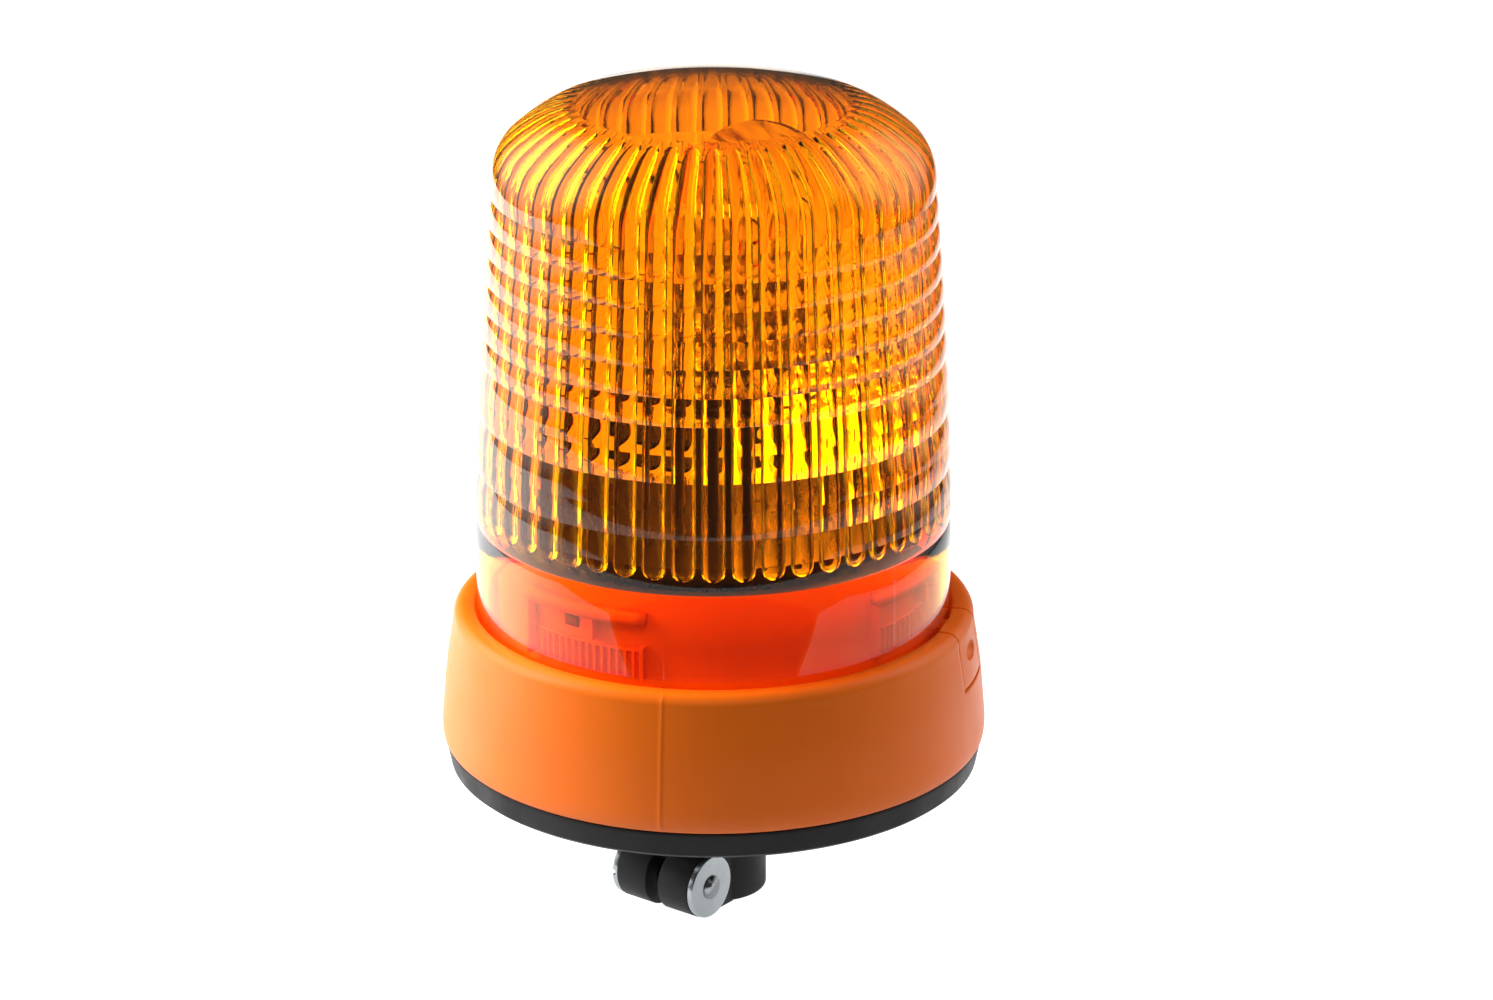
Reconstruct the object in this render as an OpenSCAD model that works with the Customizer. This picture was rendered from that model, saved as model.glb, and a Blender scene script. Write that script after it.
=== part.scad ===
// Rotating warning beacon on a flexible pole-socket mount.
// Frame: the origin is the centre of the socket's mouth, +Z runs up along the pole's axis,
// and the front is -Y. An azimuth is measured from the front towards +X.

/* [Base] */
// Largest radius of the base housing
base_r = 83.7; // [82:0.1:86]
// Height of the housing's lower edge
skirt_z = 52.6; // [52:0.1:53]
// Height of the shoulder that the lens drops into
shoulder_z = 94.8; // [94:0.1:96]
// Wall thickness of the base housing
base_wall = 2.9; // [2.4:0.1:3.2]
// Outer radius of the neck inside the lens
neck_r = 65.75; // [65:0.05:66]
// Height of the neck's upper rim
neck_top_z = 121.6; // [120.5:0.1:122]

/* [Lens] */
// Outer radius of the lens's plain lower band
lens_r = 72.5; // [72.2:0.1:72.6]
// Wall thickness of the lens
lens_wall = 3; // [2.6:0.1:3.2]
// Height of the top of the dome
lens_top_z = 258.2; // [256:0.1:262]
// Depth of each convex band between two creases
band_bulge = 0.7; // [0.3:0.1:1]
// Turn that frees the lens from its bayonet rails, in degrees
lens_turn = 14; // [12:0.5:15]

/* [Socket] */
// Diameter of the spigot bore
spigot_d = 25.1; // [24.6:0.1:25.4]
// Outer diameter of the socket tube
socket_d = 32.4; // [31.6:0.1:33]
// Depth of the spigot bore
spigot_depth = 33; // [30:1:33]
// Direction in which the two clamp ears stand out
ear_az = -38; // [-60:1:-20]
// Distance from the tube's axis to the clamp screw's axis
ear_reach = 21.5; // [20.5:0.1:23]
// Width of the slit between the ears
slit_w = 4.9; // [4:0.1:6]

/* [Drive] */
// Teeth on the turntable's ring gear
ring_teeth = 60; // [60:1:60]
// Teeth on the idler's small gear
small_teeth = 15; // [15:1:15]
// Teeth on the idler's large gear
large_teeth = 45; // [45:1:45]
// Teeth on the motor pinion
pinion_teeth = 12; // [12:1:12]
// Direction of the idler's axis from the beacon's axis
idler_az = -70; // [-80:1:-60]

/* [Reflector] */
// Direction that the reflector faces at rest
reflector_az = -48; // [-180:1:180]
// Focal length of the paraboloid
focal = 46; // [42:1:48]
// Height of the lamp's filament, which is the paraboloid's focus
focus_z = 178; // [176:1:180]
// Width of the reflector
reflector_w = 96; // [88:1:98]
// Height of the reflector's arched top
reflector_top_z = 241; // [236:1:242]

/* [Hidden] */
$fn = 96;
FINE = 32;
EPS = 0.01;

// Base ring, plate and neck levels
ring_bottom_z = 44;
plate_z = 46.5;
plate_t = 3.5;
plate_r = 77.6;
groove_z = 88.2;
groove_r = 73.2;
neck_wall = 2.55;
ledge_z = 96.8;
deck_z = 100;
deck_t = 3.2;
deck_top = deck_z + deck_t;
ledge_r = 54;
boss_r = 70;
boss_azs = [15, 135, 255];
deck_screw_r = 58;
shroud_r = 62.6;
deck_screw_azs = [45, 165, 285];

// Bayonet fields on the neck, and the lugs inside the lens that they hold
field_azs = [-35, 62, 145, 242];
field_half = 18;
field_r = 69;
rail_z = 112;
field_top_z = 115.3;
comb_ribs = 14;
comb_z = 94.8;
comb_h = 7.8;
lug_half = 4;
lug_shift = 9;
lug_z = 107;
lug_h = 3.5;

// Latch in the shoulder
latch_az = 75.5;
latch_w = 21;
latch_z = 76.9;
latch_t = 2.8;
latch_pin_x = 77.4;
latch_pin_z = 79.6;
latch_pin_r = 1;
pocket_gap = 0.4;
pocket_x = 70.5;
nose_x = 70.9;
nose_z = 91.6;
nose_h = 2;
nose_half = 4;
slot_half = 3.8;

// Lens shape
lens_bottom_z = 89;
band_top_z = 122;
taper = 0.00536;
crease_top_z = 225.9;
fine_pitch = 8.5;
coarse_pitch = 17.1;
fine_bands = 6;
coarse_bands = 3;
dome_c = [48.6, 229.5];
dome_r = 18.3;
dome_end = 66;
cap_k = 0.0030;

// Socket, clamp and flexible neck
socket_h = 40;
ear_z = 9.9;
ear_r = 10;
ear_out = 13.7;
head_t = 2;
head_r = 9.8;
screw_r = 4;
barrel_r = 5.5;
contact_r = 2.5;
neck_flange_r = 38;
neck_screw_r = 34.2;
neck_screw_azs = [0, 90, 180, 270];

// Drive train
ring_m = 1;
motor_m = 0.8;
pressure = 22;
tooth_slack = 0.16;
ring_pitch_r = ring_teeth * ring_m / 2;
idler_reach = ring_pitch_r + small_teeth * ring_m / 2;
mesh_reach = (large_teeth + pinion_teeth) * motor_m / 2;
motor_az = idler_az + 2 * asin(mesh_reach / 2 / idler_reach);
idler_p = polar(idler_reach, idler_az);
motor_p = polar(idler_reach, motor_az);
mesh_dir = atan2(motor_p[1] - idler_p[1], motor_p[0] - idler_p[0]);
ring_dir = idler_az - 90;
ring_z = 114;
ring_h = 6;
large_z = 106.5;
large_h = 4;
table_z = 122;
table_t = 2.5;
table_top = table_z + table_t;
table_r = 56;
hub_z = 107.3;
hub_r = 16;
hub_bore_r = 12.06;
bush_r = 12;
post_r = 10;
post_bore_r = 7;
post_top = 150;
motor_r = 13.75;
motor_z = 66;
motor_wall = 1;
shaft_r = 1;

// Reflector and lamp
reflector_t = 1.6;
reflector_bottom_z = 130;
reach_rho = 72;
rho_steps = 18;
rivet_r = 1.6;
rivet_y = 8;
rivet_z = 141;
foot_y = 14;
foot_x = -50;
foot_screw_x = 44;
foot_screw_y = 9;
bulb_r = 5.6;

// Circuit board under the deck, and screw positions
board_dir = 45;
board_c = 32;
board_posts = [
    for (v = [-22, 22])
        [board_c * cos(board_dir) - v * sin(board_dir), board_c * sin(board_dir) + v * cos(board_dir), 0]
];
motor_screw_ps = [for (side = [-1, 1]) motor_p + side * 8 * [cos(mesh_dir + 90), sin(mesh_dir + 90)]];
post_screw_azs = [0, 120, 240];

// Routes of the leads and of the lamp's clip, point by point
supply_route = [
    [0, 0, 41.7], [0, 0, 43.5], [1, 0.5, 48], [7, 3, 56],
    [14, 9, 68], [19, 16, 80], [21, 21, 87.4], [21, 21, 89.6]
];
earth_route = [
    [7, 0, 41.7], [7, 0, 43.5], [9, 1, 48], [13, 6, 56],
    [15, 13, 68], [16.5, 20, 80], [17.5, 24.5, 87.4], [17.5, 24.5, 89.6]
];
motor_lead_a = [
    [motor_p[0] + 8.7, motor_p[1], motor_z - 5], [motor_p[0] + 20, motor_p[1] + 3, motor_z - 5],
    [4, -12, 66], [12, 0, 76], [16, 10, 84], [17, 14, 88.8], [17, 14, 90.2]
];
motor_lead_b = [
    [motor_p[0] - 9.5, motor_p[1], motor_z - 5], [motor_p[0] - 9.5, motor_p[1] + 18, motor_z - 5],
    [-8, -2, 64], [2, 8, 74], [9, 15, 84], [12, 18, 88.8], [12, 18, 90.2]
];
lamp_route = [
    [18, 20, 92.5], [18, 20, 93.7], [15, 17, 96.4], [8, 8, 97.8], [2, 2, 102], [1.6, 0, 112], [1.6, 0, 149.8]
];
clip_route = [
    [10.5, 0, 159.4], [9.6, 1.2, 161.9], [7, 5, 161.9], [0, 7.6, 161.9], [-7, 5, 161.9], [-9.6, 1.2, 161.9],
    [-10.5, 0, 159.4]
];

// ---- helpers ----

function polar(r, az) = [r * sin(az), -r * cos(az)];

// Places children at radius r and height z with local +X pointing outwards at azimuth az.
module at_az(az, r = 0, z = 0) {
    rotate([0, 0, az - 90]) translate([r, 0, z]) children();
}

module disc(r, z0, z1) {
    translate([0, 0, z0]) cylinder(r = r, h = z1 - z0);
}

module ring(r_out, r_in, z0, z1) {
    difference() {
        disc(r_out, z0, z1);
        disc(r_in, z0 - 1, z1 + 1);
    }
}

module sector(r_in, r_out, z0, z1, az0, az1) {
    rotate([0, 0, az0 - 90])
        rotate_extrude(angle = az1 - az0)
            translate([r_in, z0]) square([r_out - r_in, z1 - z0]);
}

module rod(a, b, r) {
    d = b - a;
    translate(a)
        rotate([0, acos(d[2] / norm(d)), atan2(d[1], d[0])])
            cylinder(r = r, h = norm(d), $fn = FINE);
}

function unit(v) = v / norm(v);
function tangent(p, i) = unit(p[min(i + 1, len(p) - 1)] - p[max(i - 1, 0)]);

// A smooth curve through the points, with k steps between each pair.
function blend4(a, b, c, d, t) = 0.5 * (
    2 * b + (c - a) * t + (2 * a - 5 * b + 4 * c - d) * t * t + (3 * b - a - 3 * c + d) * t * t * t
);
function smooth(p, k = 4) = concat(
    [for (i = [0 : len(p) - 2], s = [0 : k - 1])
        blend4(p[max(i - 1, 0)], p[i], p[i + 1], p[min(i + 2, len(p) - 1)], s / k)],
    [p[len(p) - 1]]
);

// Faces of a closed tube of n rings.
function tube_faces(n, sides) = concat(
    [for (i = [0 : n - 2], j = [0 : sides - 1])
        [i * sides + j, i * sides + (j + 1) % sides, (i + 1) * sides + (j + 1) % sides, (i + 1) * sides + j]],
    [[for (j = [sides - 1 : -1 : 0]) j]],
    [[for (j = [0 : sides - 1]) (n - 1) * sides + j]]
);

// A bent round wire along a route. ref is a direction that the route never runs along.
module wire(route, r, ref = [1, -1, 0.3], sides = 8) {
    p = smooth(route);
    points = [for (i = [0 : len(p) - 1])
        let (t = tangent(p, i), u = unit(cross(ref, t)), v = cross(u, t))
            for (j = [0 : sides - 1]) p[i] + r * (cos(360 * j / sides) * u + sin(360 * j / sides) * v)];
    polyhedron(points = points, faces = tube_faces(len(p), sides));
}

// Moves a route sideways, for the second lead of a pair.
function shifted(points, by) = [for (p = points) p + by];

// A round-wire coil about Z from z = 0.
module coil(r, wire_r, pitch, turns, steps = 12, sides = 6) {
    n = round(turns * steps) + 1;
    points = [for (i = [0 : n - 1], j = [0 : sides - 1])
        let (a = 360 * i / steps, b = 360 * j / sides, rr = r + wire_r * cos(b))
            [rr * cos(a), rr * sin(a), pitch * i / steps + wire_r * sin(b)]];
    polyhedron(points = points, faces = tube_faces(n, sides));
}

// A screw along +Z with its head's underside at z = 0, the head below it and the shank above.
module screw_up(r, length, head_r, head_h) {
    difference() {
        union() {
            cylinder(r = r, h = length);
            translate([0, 0, -head_h]) cylinder(r = head_r, h = head_h);
        }
        translate([0, 0, -head_h - EPS]) cylinder(r = head_r * 0.5, h = head_h * 0.6, $fn = 6);
    }
}

module screw_down(r, length, head_r, head_h) {
    mirror([0, 0, 1]) screw_up(r, length, head_r, head_h);
}

// ---- gears ----

function involute(rb, roll) = rb * [
    cos(roll) + roll * PI / 180 * sin(roll),
    sin(roll) - roll * PI / 180 * cos(roll)
];
function turned(p, a) = [p[0] * cos(a) - p[1] * sin(a), p[0] * sin(a) + p[1] * cos(a)];
function mirrored(p) = [p[0], -p[1]];
function roll_at(r, rb) = r > rb ? sqrt(pow(r / rb, 2) - 1) * 180 / PI : 0;

// Outline of a spur gear with one tooth centred on +X.
function gear_outline(teeth, m) =
    let (
        rp = teeth * m / 2,
        rb = rp * cos(pressure),
        half = 90 / teeth - tooth_slack / rp * 180 / PI + tan(pressure) * 180 / PI - pressure,
        r_tip = rp + 0.85 * m,
        r_root = rp - 1.15 * m,
        lo = roll_at(r_root, rb),
        hi = roll_at(r_tip, rb),
        flank = [for (k = [0 : 3]) turned(involute(rb, lo + (hi - lo) * k / 3), -half)],
        foot = turned([r_root, 0], -half),
        side = r_root < rb ? concat([foot], flank) : flank,
        tooth = concat(side, [for (k = [len(side) - 1 : -1 : 0]) mirrored(side[k])])
    )
    [for (t = [0 : teeth - 1], p = tooth) turned(p, 360 * t / teeth)];

module gear(teeth, m, height) {
    linear_extrude(height = height) polygon(gear_outline(teeth, m));
}

// ---- base ----

// Outer outline of the base from the skirt's lower edge up to the shoulder, drawn in by inset.
function skirt_outline(inset = 0) = concat(
    [
        [base_r - 0.7 - inset, skirt_z],
        [base_r - inset, skirt_z + 1.9],
        [base_r - inset, skirt_z + 5.4],
        [base_r - 0.5 - inset, skirt_z + 11.4],
        [base_r - 1.5 - inset, skirt_z + 22.4],
        [base_r - 2.8 - inset, skirt_z + 31.4],
        [base_r - 3.7 - inset, shoulder_z - 5.4]
    ],
    [for (a = [10 : 16 : 90])
        [base_r - 7.5 + (3.7 - inset) * cos(a), shoulder_z - 3.7 + (3.7 - inset) * sin(a)]]
);

module base_shell() {
    rotate_extrude() polygon(concat(
        skirt_outline(),
        [
            [groove_r, shoulder_z],
            [groove_r, groove_z],
            [neck_r, groove_z],
            [neck_r, neck_top_z],
            [neck_r - neck_wall, neck_top_z],
            [neck_r - neck_wall, deck_z],
            [ledge_r, deck_z],
            [ledge_r, ledge_z],
            [neck_r - neck_wall, ledge_z],
            [neck_r - neck_wall, groove_z - 2.2],
            [base_r - 7.6, groove_z - 2.2],
            [base_r - 2.8 - base_wall, groove_z - 4.2],
            [base_r - 1.5 - base_wall, skirt_z + 22.4],
            [base_r - base_wall, skirt_z + 5.4],
            [base_r - base_wall, skirt_z]
        ]
    ));
}

// An upright rib on the neck at azimuth az.
module neck_rib(az, depth, width, z0, z1) {
    at_az(az, neck_r - 0.5, z0) translate([0, -width / 2, 0]) cube([depth + 0.5, width, z1 - z0]);
}

// One bayonet field: a rail over the lens's lug, an end wall, a stop, and a comb of ribs below.
module bayonet_field(az) {
    wall_depth = field_r - neck_r - 0.4;
    sector(neck_r - 0.5, field_r, rail_z, field_top_z, az - field_half, az + field_half);
    neck_rib(az - field_half + 0.8, wall_depth, 1.2, comb_z, rail_z + 1);
    neck_rib(az + field_half - 0.8, wall_depth, 1.2, comb_z, lug_z - 2);
    neck_rib(az + lug_shift - lug_half - 1.3, wall_depth, 1.2, lug_z - 2, rail_z + 1);
    bar_z = comb_z + comb_h;
    sector(neck_r - 0.5, neck_r + 0.6, bar_z, bar_z + 1, az - field_half + 1, az + field_half - 1);
    for (k = [0 : comb_ribs - 1])
        neck_rib(az - 13.5 + 28 * k / (comb_ribs - 1), 1.2, 0.9, comb_z, comb_z + comb_h + 0.4);
}

module base_housing() {
    color("darkorange") difference() {
        union() {
            base_shell();
            for (az = field_azs) bayonet_field(az);
            for (az = boss_azs) at_az(az, boss_r) disc(4.2, plate_z + plate_t, groove_z - 1);
            at_az(latch_az)
                translate([neck_r - 1.5, -latch_w / 2 - 2.4, latch_z - 3])
                    cube([base_r - 3.6 - neck_r, latch_w + 4.8, groove_z - latch_z + 1.9]);
        }
        at_az(latch_az)
            translate([pocket_x, -latch_w / 2 - pocket_gap, latch_z - 0.6])
                cube([20, latch_w + 2 * pocket_gap, 30]);
        latch_pin_hole(latch_pin_r, latch_w / 2 + 2);
        for (az = boss_azs) at_az(az, boss_r) disc(1.6, plate_z, plate_z + 16);
        for (az = deck_screw_azs) at_az(az, deck_screw_r) disc(1.4, ledge_z - 1, deck_z + 1);
    }
}

module latch_pin_hole(r, half) {
    at_az(latch_az, latch_pin_x, latch_pin_z)
        translate([0, -half, 0]) rotate([-90, 0, 0]) cylinder(r = r, h = 2 * half, $fn = FINE);
}

module latch_pin() {
    color("silver") latch_pin_hole(latch_pin_r, latch_w / 2 + 2);
}

// Torsion spring round the pin, with one leg on the latch and one on the pocket's floor.
module latch_spring() {
    spring_w = 5;
    spring_r = 1.7;
    color("dimgray") at_az(latch_az, latch_pin_x, latch_pin_z) {
        translate([0, -spring_w / 2, 0]) rotate([-90, 0, 0]) coil(spring_r, 0.3, 1, spring_w);
        rod([-spring_r, -spring_w / 2, 0], [-spring_r - 1.2, -spring_w / 2, 7], 0.3);
        rod([-spring_r, spring_w / 2, 0], [-spring_r - 3, spring_w / 2, 0.6], 0.3);
    }
}

module latch() {
    inner_knuckle = 3.2;
    spring_relief_r = 2.25;
    color("darkorange") difference() {
        union() {
            intersection() {
                difference() {
                    rotate_extrude() polygon(concat(skirt_outline(), [[60, shoulder_z], [60, skirt_z]]));
                    rotate_extrude() polygon(concat(
                        [[base_r - latch_t, skirt_z - 1]],
                        skirt_outline(latch_t),
                        [[59, shoulder_z - latch_t], [59, skirt_z - 1]]
                    ));
                }
                at_az(latch_az)
                    translate([groove_r + 0.2, -latch_w / 2, latch_z]) cube([20, latch_w, 30]);
            }
            at_az(latch_az)
                translate([nose_x, -nose_half, nose_z]) cube([3.6, 2 * nose_half, nose_h]);
            for (side = [-1, 1]) at_az(latch_az, latch_pin_x, latch_pin_z)
                translate([0, side * (latch_w / 2 + inner_knuckle) / 2, 0])
                    rotate([90, 0, 0])
                        cylinder(r = 2.2, h = latch_w / 2 - inner_knuckle, center = true, $fn = FINE);
        }
        latch_pin_hole(latch_pin_r + 0.05, latch_w);
        latch_pin_hole(spring_relief_r, 2 * inner_knuckle);
        latch_dimple();
    }
}

// Oval finger recess in the latch's outer face.
module latch_dimple() {
    at_az(latch_az, base_r - 2.2, 86)
        for (dy = [-2.6, 0, 2.6]) translate([0, dy, 0]) sphere(r = 3.1, $fn = FINE);
}

module base_seal() {
    color([0.06, 0.06, 0.06]) rotate_extrude() polygon([
        [plate_r, ring_bottom_z],
        [base_r - 3.4, ring_bottom_z],
        [base_r - 2.3, ring_bottom_z + 0.9],
        [base_r - 0.9, skirt_z - 0.7],
        [base_r - 0.9, skirt_z],
        [base_r - 8, skirt_z],
        [base_r - 8, plate_z + plate_t],
        [plate_r, plate_z + plate_t]
    ]);
}

module base_plate() {
    color([0.1, 0.1, 0.1]) difference() {
        union() {
            ring(plate_r, 26.5, plate_z, plate_z + plate_t);
            ring(44, 41.5, plate_z + plate_t - EPS, plate_z + plate_t + 3);
            for (az = [30 : 60 : 330]) at_az(az)
                translate([43, -1, plate_z + plate_t - EPS]) cube([22, 2, 3]);
        }
        for (az = boss_azs) at_az(az, boss_r) disc(1.6, plate_z - 1, plate_z + plate_t + 1);
        for (az = neck_screw_azs) at_az(az, neck_screw_r) disc(1.6, plate_z - 1, plate_z + plate_t + 1);
        at_az(200, 56) disc(3, plate_z - 1, plate_z + plate_t + 1);
    }
}

module base_screws() {
    color("silver") for (az = boss_azs) at_az(az, boss_r, plate_z) screw_up(1.6, 14, 3.2, 1.8);
}

module vent_plug() {
    color("gray") at_az(200, 56) difference() {
        union() {
            disc(3, plate_z, plate_z + plate_t + 2);
            disc(5, plate_z - 2, plate_z);
            disc(3.6, plate_z + plate_t, plate_z + plate_t + 1.5);
        }
        disc(1, plate_z - 3, plate_z + plate_t + 3);
    }
}

// ---- flexible neck and socket ----

module flex_neck() {
    color([0.08, 0.08, 0.08]) difference() {
        rotate_extrude() polygon([
            [socket_d / 2, 25],
            [19.4, 25],
            [20.4, 27],
            [20.4, 31],
            [23, 35],
            [27.5, 38.5],
            [30, 41],
            [30, 43.5],
            [neck_flange_r, 43.5],
            [neck_flange_r, plate_z],
            [26.5, plate_z],
            [26.5, 43],
            [23.5, 40],
            [19, 37.5],
            [socket_d / 2, 36.5]
        ]);
        for (az = neck_screw_azs) at_az(az, neck_screw_r) disc(1.6, 40, plate_z + 1);
    }
}

module flange_ring() {
    color("dimgray") difference() {
        ring(neck_flange_r, 31, 42, 43.5);
        for (az = neck_screw_azs) at_az(az, neck_screw_r) disc(1.6, 40, 45);
    }
}

module flange_screws() {
    color("silver") for (az = neck_screw_azs) at_az(az, neck_screw_r, 42) screw_up(1.6, 10, 2.9, 1.8);
}

// Places children with local +X along the clamp ears and local +Y along the clamp screw.
module at_ears() {
    rotate([0, 0, ear_az - 90]) children();
}

module clamp_socket() {
    color([0.09, 0.09, 0.09]) difference() {
        union() {
            disc(socket_d / 2, 0, socket_h);
            at_ears() {
                translate([ear_reach, 0, ear_z]) rotate([90, 0, 0])
                    cylinder(r = ear_r, h = 2 * ear_out, center = true);
                translate([0, -ear_out, ear_z - ear_r]) cube([ear_reach, 2 * ear_out, 2 * ear_r]);
            }
        }
        disc(spigot_d / 2, -1, spigot_depth);
        disc(11.5, spigot_depth - EPS, socket_h + 1);
        at_ears() {
            translate([0, -slit_w / 2, -1]) cube([50, slit_w, 22.5]);
            translate([ear_reach, 0, ear_z]) rotate([90, 0, 0])
                cylinder(r = screw_r + 0.1, h = 60, center = true);
            translate([ear_reach, -slit_w / 2, ear_z]) rotate([90, 0, 0])
                cylinder(r = barrel_r, h = 30);
        }
    }
}

// Flat-headed screw through both ears, its head on the front-right ear.
module clamp_screw() {
    color("silver") at_ears() translate([ear_reach, 0, ear_z]) rotate([90, 0, 0]) difference() {
        union() {
            translate([0, 0, -ear_out - head_t]) cylinder(r = head_r, h = head_t);
            translate([0, 0, -ear_out]) cylinder(r = screw_r, h = 2 * ear_out - 2);
        }
        translate([0, 0, -ear_out - head_t - EPS]) cylinder(r = 3.2, h = 4.5, $fn = 6);
    }
}

// Barrel nut in the other ear.
module clamp_nut() {
    color("silver") at_ears() translate([ear_reach, 0, ear_z]) rotate([90, 0, 0]) difference() {
        union() {
            translate([0, 0, ear_out]) cylinder(r = head_r, h = head_t);
            translate([0, 0, ear_out - 9]) cylinder(r = barrel_r, h = 9);
        }
        translate([0, 0, -ear_out]) cylinder(r = screw_r, h = 2 * ear_out - 1);
        translate([0, 0, ear_out + head_t - 1.2]) cube([12, 1.6, 4], center = true);
    }
}

module contact_carrier() {
    color("tan") difference() {
        disc(11.5, spigot_depth + 1, socket_h);
        disc(contact_r, spigot_depth, socket_h + 1);
        for (x = [-7, 7]) translate([x, 0, 0]) disc(1.2, spigot_depth, socket_h + 1);
    }
}

module centre_contact() {
    color("gold") {
        disc(contact_r, spigot_depth + contact_r + 0.1, socket_h + 1.5);
        translate([0, 0, spigot_depth + contact_r + 0.1]) sphere(r = contact_r);
    }
}

module earth_contact() {
    color("gold") {
        ring(11.5, 8, spigot_depth, spigot_depth + 1);
        translate([7, 0, 0]) disc(1.2, spigot_depth + 1, socket_h + 1.5);
    }
}

// The two leads from the contacts up into the base, free inside the flexible neck.
module supply_leads() {
    color("firebrick") wire(supply_route, 1.1);
    color("saddlebrown") wire(earth_route, 1.1);
}

// ---- deck, motor and gears ----

module deck_plate() {
    color([0.12, 0.12, 0.12]) difference() {
        union() {
            disc(61, deck_z, deck_top);
            for (p = board_posts) translate(p) disc(3, 92, deck_z + EPS);
        }
        disc(post_bore_r, deck_z - 1, deck_top + 1);
        for (az = deck_screw_azs) at_az(az, deck_screw_r) disc(1.4, deck_z - 1, deck_top + 1);
        for (az = post_screw_azs) at_az(az, 13.5) disc(1.3, deck_z - 1, deck_top + 1);
        translate(motor_p) disc(4, deck_z - 1, deck_top + 1);
        for (d = motor_screw_ps) translate(d) disc(1.3, deck_z - 1, deck_top + 1);
        translate(idler_p) disc(1.5, deck_z - 1, deck_top + 1);
        for (p = board_posts) translate(p) disc(1.2, 91, 99);
    }
}

module deck_screws() {
    color("silver") for (az = deck_screw_azs) at_az(az, deck_screw_r, deck_top) screw_down(1.4, 6.2, 2.8, 1.7);
}

module gear_shroud() {
    color([0.07, 0.07, 0.07]) {
        ring(shroud_r, shroud_r - 1.6, deck_top, neck_top_z);
        ring(shroud_r, 57.4, neck_top_z - 1.4, neck_top_z);
    }
}

module lens_seal() {
    color("black") ring(72.2, 69.8, groove_z, groove_z + 0.6);
}

module motor_can() {
    color("silver") translate(motor_p) difference() {
        union() {
            disc(motor_r, motor_z, deck_z);
            disc(4, deck_z - EPS, deck_top + 0.6);
        }
        disc(motor_r - motor_wall, motor_z - 1, deck_z - 1.5);
        disc(shaft_r + 0.05, motor_z, deck_top + 2);
        for (side = [-1, 1])
            translate(side * 8 * [cos(mesh_dir + 90), sin(mesh_dir + 90)]) disc(1.3, deck_z - 3, deck_z + 1);
    }
}

module motor_magnets() {
    color([0.25, 0.25, 0.27]) translate(motor_p) for (side = [0, 180])
        sector(10, motor_r - motor_wall, 72, 95, side - 62, side + 62);
}

module motor_endcap() {
    color([0.15, 0.15, 0.15]) translate(motor_p) difference() {
        union() {
            disc(motor_r, motor_z - 2, motor_z);
            disc(motor_r - motor_wall, motor_z, motor_z + 2);
            disc(4, motor_z - 4, motor_z - 2);
        }
        disc(shaft_r + 0.05, motor_z - 3, motor_z + 3);
        for (side = [-1, 1]) translate([side * 8 - 0.4, -2, motor_z - 3]) cube([0.8, 4, 6]);
    }
}

module motor_terminals() {
    color("gold") translate(motor_p) for (side = [-1, 1])
        translate([side * 8 - 0.4, -2, motor_z - 7]) cube([0.8, 4, 9]);
}

module motor_screws() {
    color("silver") for (p = motor_screw_ps) translate([p[0], p[1], deck_top]) screw_down(1.3, 5.5, 2.4, 1.6);
}

module motor_leads() {
    color("black") wire(motor_lead_a, 0.8);
    color("darkred") wire(motor_lead_b, 0.8);
}

module idler_shaft() {
    color("silver") translate(idler_p) disc(1.5, deck_z, 121.4);
}

module idler_circlip() {
    color("dimgray") translate(idler_p) difference() {
        ring(3, 1.5, 120.8, 121.3);
        translate([0, -0.8, 120]) cube([5, 1.6, 3]);
    }
}

module idler_gear() {
    color("ivory") translate(idler_p) difference() {
        union() {
            translate([0, 0, large_z]) rotate([0, 0, mesh_dir]) gear(large_teeth, motor_m, large_h);
            translate([0, 0, large_z + large_h - EPS])
                rotate([0, 0, ring_dir + 180 + 180 / small_teeth])
                    gear(small_teeth, ring_m, ring_z + ring_h - large_z - large_h + 0.4);
            disc(4, deck_top + 0.3, large_z + EPS);
        }
        disc(1.54, deck_top - 1, 125);
    }
}

module motor_shaft() {
    color("silver") translate(motor_p) disc(shaft_r, motor_z - 1.8, 112.5);
}

module motor_armature() {
    color("peru") translate(motor_p) difference() {
        union() {
            for (k = [0 : 2]) rotate([0, 0, 120 * k]) sector(3, 9.3, 73, 94, -42, 42);
            disc(3.4, 69, 96);
        }
        disc(shaft_r, 60, 100);
    }
}

module motor_pinion() {
    color("gold") translate(motor_p) difference() {
        translate([0, 0, large_z - 0.5]) rotate([0, 0, mesh_dir + 180 + 180 / pinion_teeth])
            gear(pinion_teeth, motor_m, large_h + 1);
        disc(shaft_r, 100, 115);
    }
}

// ---- lamp ----

module lamp_post() {
    color([0.1, 0.1, 0.1]) difference() {
        union() {
            disc(17, deck_top, deck_top + 2.5);
            disc(post_r, deck_top, post_top);
        }
        disc(post_bore_r, deck_top - 1, post_top + 1);
        for (az = post_screw_azs) at_az(az, 13.5) disc(1.3, deck_top - 1, deck_top + 1.6);
    }
}

module post_screws() {
    color("silver") for (az = post_screw_azs) at_az(az, 13.5, deck_z) screw_up(1.3, 4.6, 2.5, 1.6);
}

module bearing_bush() {
    color("goldenrod") ring(bush_r, post_r, deck_top + 2.5, 123.5);
}

module lamp_holder() {
    color([0.16, 0.15, 0.14]) difference() {
        union() {
            disc(12.5, post_top, 156);
            disc(9.6, 156, 160);
            for (az = [45, 225]) at_az(az, 10.5) disc(2.2, 156, 159);
        }
        disc(7, 155, 161);
        disc(3, post_top - 1, 156);
    }
}

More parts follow.
